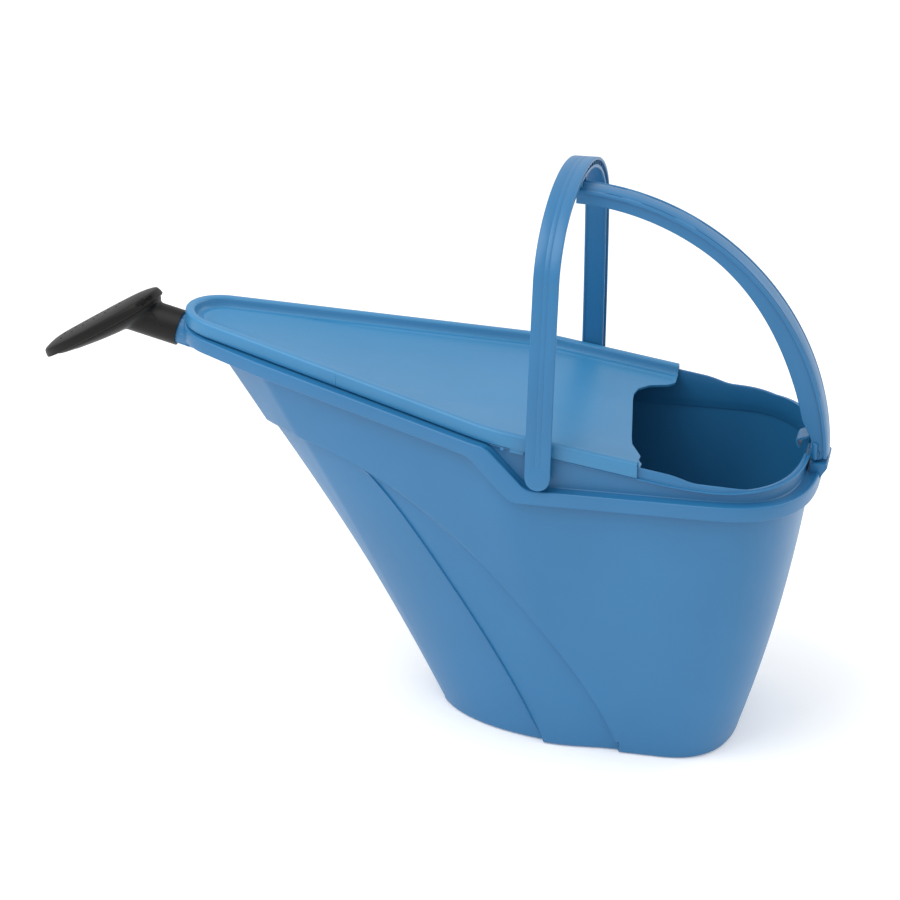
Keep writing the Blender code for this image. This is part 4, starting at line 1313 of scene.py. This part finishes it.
class WATERINGCAN_OT_arm(bpy.types.Operator):
    """Build the pouring arm: a grooved channel with its hinge cheeks and curled tongue"""
    bl_idname = "wateringcan.arm"
    bl_label = "Pouring arm"

    def execute(self, context):
        sizes = context.scene.arm_sizes
        angles = spread(ARM_START_DEG, ARM_END_DEG, ARM_PARTS, last=True)
        arm = link("arm_shell", bar(lambda angle: arm_section(angle, sizes), angles))
        for side in (-1.0, 1.0):
            inner = ARM_PIVOT + Vector((0.0, side * (sizes.foot_half - 0.0022), 0.0))
            outer = ARM_PIVOT + Vector((0.0, side * sizes.foot_half, 0.0))
            combine(arm, rod(inner, outer, ARM_CHEEK, 48, edge=0.0004), "UNION")
        combine(arm, rod_across(ARM_PIVOT, 0.03, ARM_HOLE), "DIFFERENCE")
        meshes = [arm.data, tongue_mesh(sizes)]
        for side in (-1.0, 1.0):
            place = ARM_PIVOT + Vector((0.0, side * (sizes.foot_half + 0.0004), 0.0))
            meshes.append(rod(place + KNUCKLE_TOP, place + KNUCKLE_LOW, KNUCKLE_RADIUS, 20,
                              edge=0.0010))
        arm.data = join("arm_shell", meshes)
        finished(arm, body_plastic(), "arm", "body_plastic", "pour_arm")
        return {"FINISHED"}


# ---- rose ----
def rose_axes(sizes):
    """Middle of the plate, the direction along it and the direction out of it."""
    along = Vector((math.cos(sizes.tilt), 0.0, math.sin(sizes.tilt)))
    normal = Vector((-math.sin(sizes.tilt), 0.0, math.cos(sizes.tilt)))
    return Vector((ROSE_MID_X, 0.0, ROSE_MID_Z)), along, normal


def rose_ring(sizes, step_in, height, tail=0.0):
    """Ring of the long oval, drawn in by step_in and raised along the plate's normal.

    A tail makes it shorter and shallower toward the end away from the spout.
    """
    centre, along, normal = rose_axes(sizes)
    ring = []
    for turn in spread(0.0, 2 * math.pi, ROSE_SIDES):
        c = math.cos(turn)
        s = math.sin(turn)
        u = (sizes.length / 2 - step_in) * math.copysign(abs(c) ** OVAL_LONG_POWER, c)
        v = (sizes.half - step_in) * math.copysign(abs(s) ** OVAL_WIDE_POWER, s)
        v *= 1.0 + OVAL_SPREAD * c
        away = smooth((0.5 - c) / 1.5)
        u += tail * away
        rise = height * (1 - 0.45 * away) if tail else height
        ring.append(centre + along * u + Vector((0.0, v, 0.0)) + normal * rise)
    return ring


def plate_mesh(sizes):
    """The perforated face: a hollow cap, domed, with a steep rim."""
    high = sizes.height
    steps = [(0.0022, 0.0002), (0.0005, 0.0), (0.0, 0.0005), (0.0, 0.0016),
             (0.0004, 0.0040), (0.0009, high - 0.0031), (0.0014, high - 0.0022),
             (0.0023, high - 0.0014), (0.0040, high - 0.0007), (0.0080, high + 0.0005),
             (0.0130, high + 0.0015), (0.0190, high + 0.0022), (0.0240, high + 0.0025)]
    inner = [(0.0240, high + 0.0003), (0.0120, high - 0.0007), (0.0070, high - 0.0024),
             (0.0048, 0.0046), (0.0030, 0.0030), (0.0024, 0.0012)]
    rings = [rose_ring(sizes, *step) for step in steps]
    centre, _, normal = rose_axes(sizes)
    rows = rings + [[centre + normal * (high + 0.0026)]]
    under = [[centre + normal * (high + 0.0004)]] + [rose_ring(sizes, *step) for step in inner]
    skins = [loft("plate_out", rows), loft("plate_in", under + [rings[0]])]
    mesh = join("rose_plate_shell", skins)
    bm = bmesh.new()
    bm.from_mesh(mesh)
    bmesh.ops.remove_doubles(bm, verts=bm.verts, dist=1e-6)
    bmesh.ops.recalc_face_normals(bm, faces=bm.faces)
    bm.to_mesh(mesh)
    bm.free()
    return mesh


def grip_mesh(sizes, side):
    """A long round-ended cutter that hollows one side of the plate near the tube."""
    centre, along, normal = rose_axes(sizes)
    across = Vector((0.0, side, 0.0))
    tangent = (along - across).normalized()
    outward = (along + across).normalized()
    turn = Matrix((tangent, outward, normal)).transposed().to_4x4()
    middle = centre + along * GRIP_ALONG + across * GRIP_ACROSS + normal * GRIP_HEIGHT
    bm = bmesh.new()
    bmesh.ops.create_uvsphere(bm, u_segments=48, v_segments=24, radius=1.0)
    bm.transform(Matrix.Translation(middle) @ turn @ Matrix.Diagonal(GRIP_HALVES))
    return mesh_of(bm, "grip")


def hole_meshes(sizes):
    """Spray holes in four rows that draw together toward the tube."""
    centre, along, normal = rose_axes(sizes)
    meshes = []
    for across, shift in HOLE_ROWS:
        for index in range(HOLES_IN_ROW):
            spot = centre + along * (HOLE_START + HOLE_PITCH * index + shift)
            spot += Vector((0.0, across * (1 - ROW_NARROWING * index), 0.0))
            meshes.append(rod(spot + normal * 0.0040, spot + normal * 0.0140, sizes.hole, 12))
    return meshes


class WATERINGCAN_OT_plate(bpy.types.Operator):
    """Build the perforated plate of the rose"""
    bl_idname = "wateringcan.plate"
    bl_label = "Rose plate"

    def execute(self, context):
        sizes = context.scene.rose_sizes
        plate = link("rose_plate_shell", plate_mesh(sizes))
        holes = join("holes", hole_meshes(sizes))
        for cutter in (holes, grip_mesh(sizes, -1.0), grip_mesh(sizes, 1.0)):
            combine(plate, cutter, "DIFFERENCE")
        finished(plate, rose_plastic(), "rose", "rose_plastic", "rose_plate")
        return {"FINISHED"}


def elbow_outside(sizes):
    """Tray and tube melted together, before they are hollowed out."""
    steps = [(0.0230, -sizes.tray, 0.0090), (0.0150, 0.0004 - sizes.tray, 0.0080),
             (0.0090, -0.0078, 0.0070), (0.0045, -0.0046, 0.0060), (0.0026, -0.0020, 0.0050),
             (0.0020, -0.0004, 0.0040), (0.0034, -0.0003, 0.0030), (0.0034, 0.0045, 0.0)]
    tray = loft("tray", [rose_ring(sizes, into, high, tail=tail) for into, high, tail in steps],
                caps=True)
    centre, _, normal = rose_axes(sizes)
    mouth = on_spout(SOCKET_START)
    across = Vector((0.0, 1.0, 0.0))
    upward = SPOUT_AXIS.cross(across)
    start = []
    end = []
    for turn in spread(0.0, 2 * math.pi, 48):
        offset = (across * math.cos(turn) + upward * math.sin(turn)) * sizes.tube
        reach = ((centre - mouth - offset).dot(normal) - 0.0012) / SPOUT_AXIS.dot(normal)
        start.append(mouth + offset - SPOUT_AXIS * 0.0030)
        end.append(mouth + offset + SPOUT_AXIS * reach)
    elbow = link("rose_elbow_shell", tray)
    combine(elbow, loft("tube", [start, end], caps=True), "UNION")
    return elbow


def crease(side):
    """The short ridge where the side of the tray runs out on the tube."""
    start, end = [(x, side * y, z) for x, y, z in (CREASE_START, CREASE_END)]
    return rod(start, end, 0.0016, 12, 0.0006)


def melt(obj, voxel, rounds):
    """Blend the junctions of a solid as a moulding would."""
    mod = obj.modifiers.new("melt", "REMESH")
    mod.mode = "VOXEL"
    mod.voxel_size = voxel
    mod.use_smooth_shade = True
    bake(obj)
    mod = obj.modifiers.new("relax", "SMOOTH")
    mod.factor = 0.5
    mod.iterations = rounds
    bake(obj)


class WATERINGCAN_OT_elbow(bpy.types.Operator):
    """Build the tube and tray of the rose, which pull off the spout"""
    bl_idname = "wateringcan.elbow"
    bl_label = "Rose elbow"

    def execute(self, context):
        sizes = context.scene.rose_sizes
        elbow = elbow_outside(sizes)
        melt(elbow, MELT_VOXEL, MELT_ROUNDS)
        combine(elbow, crease(-1.0), "UNION")
        combine(elbow, crease(1.0), "UNION")
        start = on_spout(-0.02)
        trim = rod(start, on_spout(SOCKET_START), SOCKET_TRIM, 48)
        combine(elbow, trim, "DIFFERENCE")
        steps = [(0.0190, 0.0022 - sizes.tray), (0.0080, -0.0040), (0.0052, -0.0006),
                 (0.0052, 0.0080)]
        hollow = loft("hollow", [rose_ring(sizes, *step) for step in steps], caps=True)
        combine(elbow, hollow, "DIFFERENCE")
        for end, radius in ((SOCKET_END, sizes.socket), (BORE_END, BORE_RADIUS)):
            combine(elbow, rod(start, on_spout(end), radius, 64), "DIFFERENCE")
        finished(elbow, rose_plastic(), "rose", "rose_plastic", "rose_elbow", sharp=50.0)
        return {"FINISHED"}


# ---- pins and seal ----
class WATERINGCAN_OT_pins(bpy.types.Operator):
    """Give the pins and the rubber ring of the frame their finishes"""
    bl_idname = "wateringcan.pins"
    bl_label = "Pins and seal"

    def execute(self, context):
        finishes = {"bail_pin_near": body_plastic(), "bail_pin_far": body_plastic(),
                    "catch_pin": body_plastic(), "arm_hinge_pin": body_plastic(),
                    "spout_seal": seal_rubber()}
        for name, mat in finishes.items():
            slots = frame["nodes"][name].material_slots
            if not slots:
                raise RuntimeError(f"{name} has no material slot")
            for slot in slots:
                slot.material = mat
        return {"FINISHED"}


# ---- stage ----
def floor_mesh(half):
    bm = bmesh.new()
    bmesh.ops.create_grid(bm, x_segments=8, y_segments=8, size=half)
    bm.transform(Matrix.Translation((0.0, 0.0, -0.0002)))
    return mesh_of(bm, "floor")


def lamp(name, place, target, width, power):
    """A square soft light that faces the target."""
    light = bpy.data.lights.new(name, "AREA")
    light.shape = "RECTANGLE"
    light.size = width
    light.size_y = width
    light.energy = power
    obj = link(name, light)
    obj.location = place
    obj.rotation_euler = (Vector(target) - Vector(place)).to_track_quat("-Z", "Y").to_euler()


def even_sky(strength):
    world = bpy.data.worlds.new("sky")
    world.use_nodes = True
    background = world.node_tree.nodes["Background"]
    background.inputs["Color"].default_value = (1.0, 1.0, 1.0, 1.0)
    background.inputs["Strength"].default_value = strength
    bpy.context.scene.world = world


def camera_facing(target, settings):
    azimuth = settings.azimuth
    elevation = settings.elevation
    forward = Vector((-math.sin(azimuth) * math.cos(elevation),
                      math.cos(azimuth) * math.cos(elevation), -math.sin(elevation)))
    camera = bpy.data.cameras.new("camera")
    camera.lens = settings.lens
    camera.sensor_width = 36.0
    obj = link("camera", camera)
    obj.location = target - forward * settings.distance
    obj.rotation_euler = forward.to_track_quat("-Z", "Y").to_euler()
    return obj


class WATERINGCAN_OT_stage(bpy.types.Operator):
    """Put up the floor, the lights and the camera"""
    bl_idname = "wateringcan.stage"
    bl_label = "Stage"

    def execute(self, context):
        settings = context.scene.can_stage
        floor = link("floor", floor_mesh(FLOOR_HALF))
        pale = moulded_plastic("pale_floor", tuple(context.scene.can_colours.floor), 0.75,
                               mottle=0.01, grain=0.02, specular=0.2)
        glow = pale.node_tree.nodes["Principled BSDF"].inputs
        glow["Emission Color"].default_value = (1.0, 1.0, 1.0, 1.0)
        glow["Emission Strength"].default_value = settings.glow
        floor.data.materials.append(pale)
        low, high = CAD_BOX
        target = Vector(((low.x + high.x) / 2 + CAMERA_SHIFT_X, 0.0, CAMERA_Z))
        context.scene.camera = camera_facing(target, settings)
        lamp("overhead", OVERHEAD_PLACE, target, OVERHEAD_WIDTH, settings.key)
        lamp("front", FRONT_PLACE, target, FRONT_WIDTH, settings.fill)
        lamp("behind", BEHIND_PLACE, target, BEHIND_WIDTH, settings.rim)
        even_sky(settings.sky)
        context.scene.view_settings.view_transform = "Standard"
        return {"FINISHED"}


# ---- add-on ----
class WATERINGCAN_PT_sidebar(bpy.types.Panel):
    """Sidebar with the can's sizes and one button for each piece"""
    bl_idname = "WATERINGCAN_PT_sidebar"
    bl_label = "Watering Can"
    bl_space_type = "VIEW_3D"
    bl_region_type = "UI"
    bl_category = "Watering Can"

    def draw(self, context):
        layout = self.layout
        for group in SETTINGS:
            settings = getattr(context.scene, group)
            column = layout.box().column()
            column.label(text=group.replace("_", " ").capitalize())
            for name in settings.__annotations__:
                column.prop(settings, name)
        for operator in OPERATORS:
            layout.operator(operator.bl_idname)


SETTINGS = {
    "can_sizes": CanSizes,
    "deck_sizes": DeckSizes,
    "bail_sizes": BailSizes,
    "arm_sizes": ArmSizes,
    "rose_sizes": RoseSizes,
    "can_colours": CanColours,
    "can_stage": StageSettings,
}
OPERATORS = (
    WATERINGCAN_OT_bucket,
    WATERINGCAN_OT_cover,
    WATERINGCAN_OT_bail,
    WATERINGCAN_OT_arm,
    WATERINGCAN_OT_plate,
    WATERINGCAN_OT_elbow,
    WATERINGCAN_OT_pins,
    WATERINGCAN_OT_stage,
)


def register():
    for name, group in SETTINGS.items():
        bpy.utils.register_class(group)
        setattr(bpy.types.Scene, name, PointerProperty(type=group))
    for operator in OPERATORS:
        bpy.utils.register_class(operator)
    bpy.utils.register_class(WATERINGCAN_PT_sidebar)


def unregister():
    bpy.utils.unregister_class(WATERINGCAN_PT_sidebar)
    for operator in reversed(OPERATORS):
        bpy.utils.unregister_class(operator)
    for name, group in SETTINGS.items():
        delattr(bpy.types.Scene, name)
        bpy.utils.unregister_class(group)


def corners(box):
    return [list(corner) for corner in box]


def main():
    register()
    bpy.ops.wateringcan.bucket()
    bpy.ops.wateringcan.cover()
    bpy.ops.wateringcan.bail()
    bpy.ops.wateringcan.arm()
    bpy.ops.wateringcan.plate()
    bpy.ops.wateringcan.elbow()
    bpy.ops.wateringcan.pins()
    bpy.ops.wateringcan.stage()


if __name__ == "__main__":
    main()
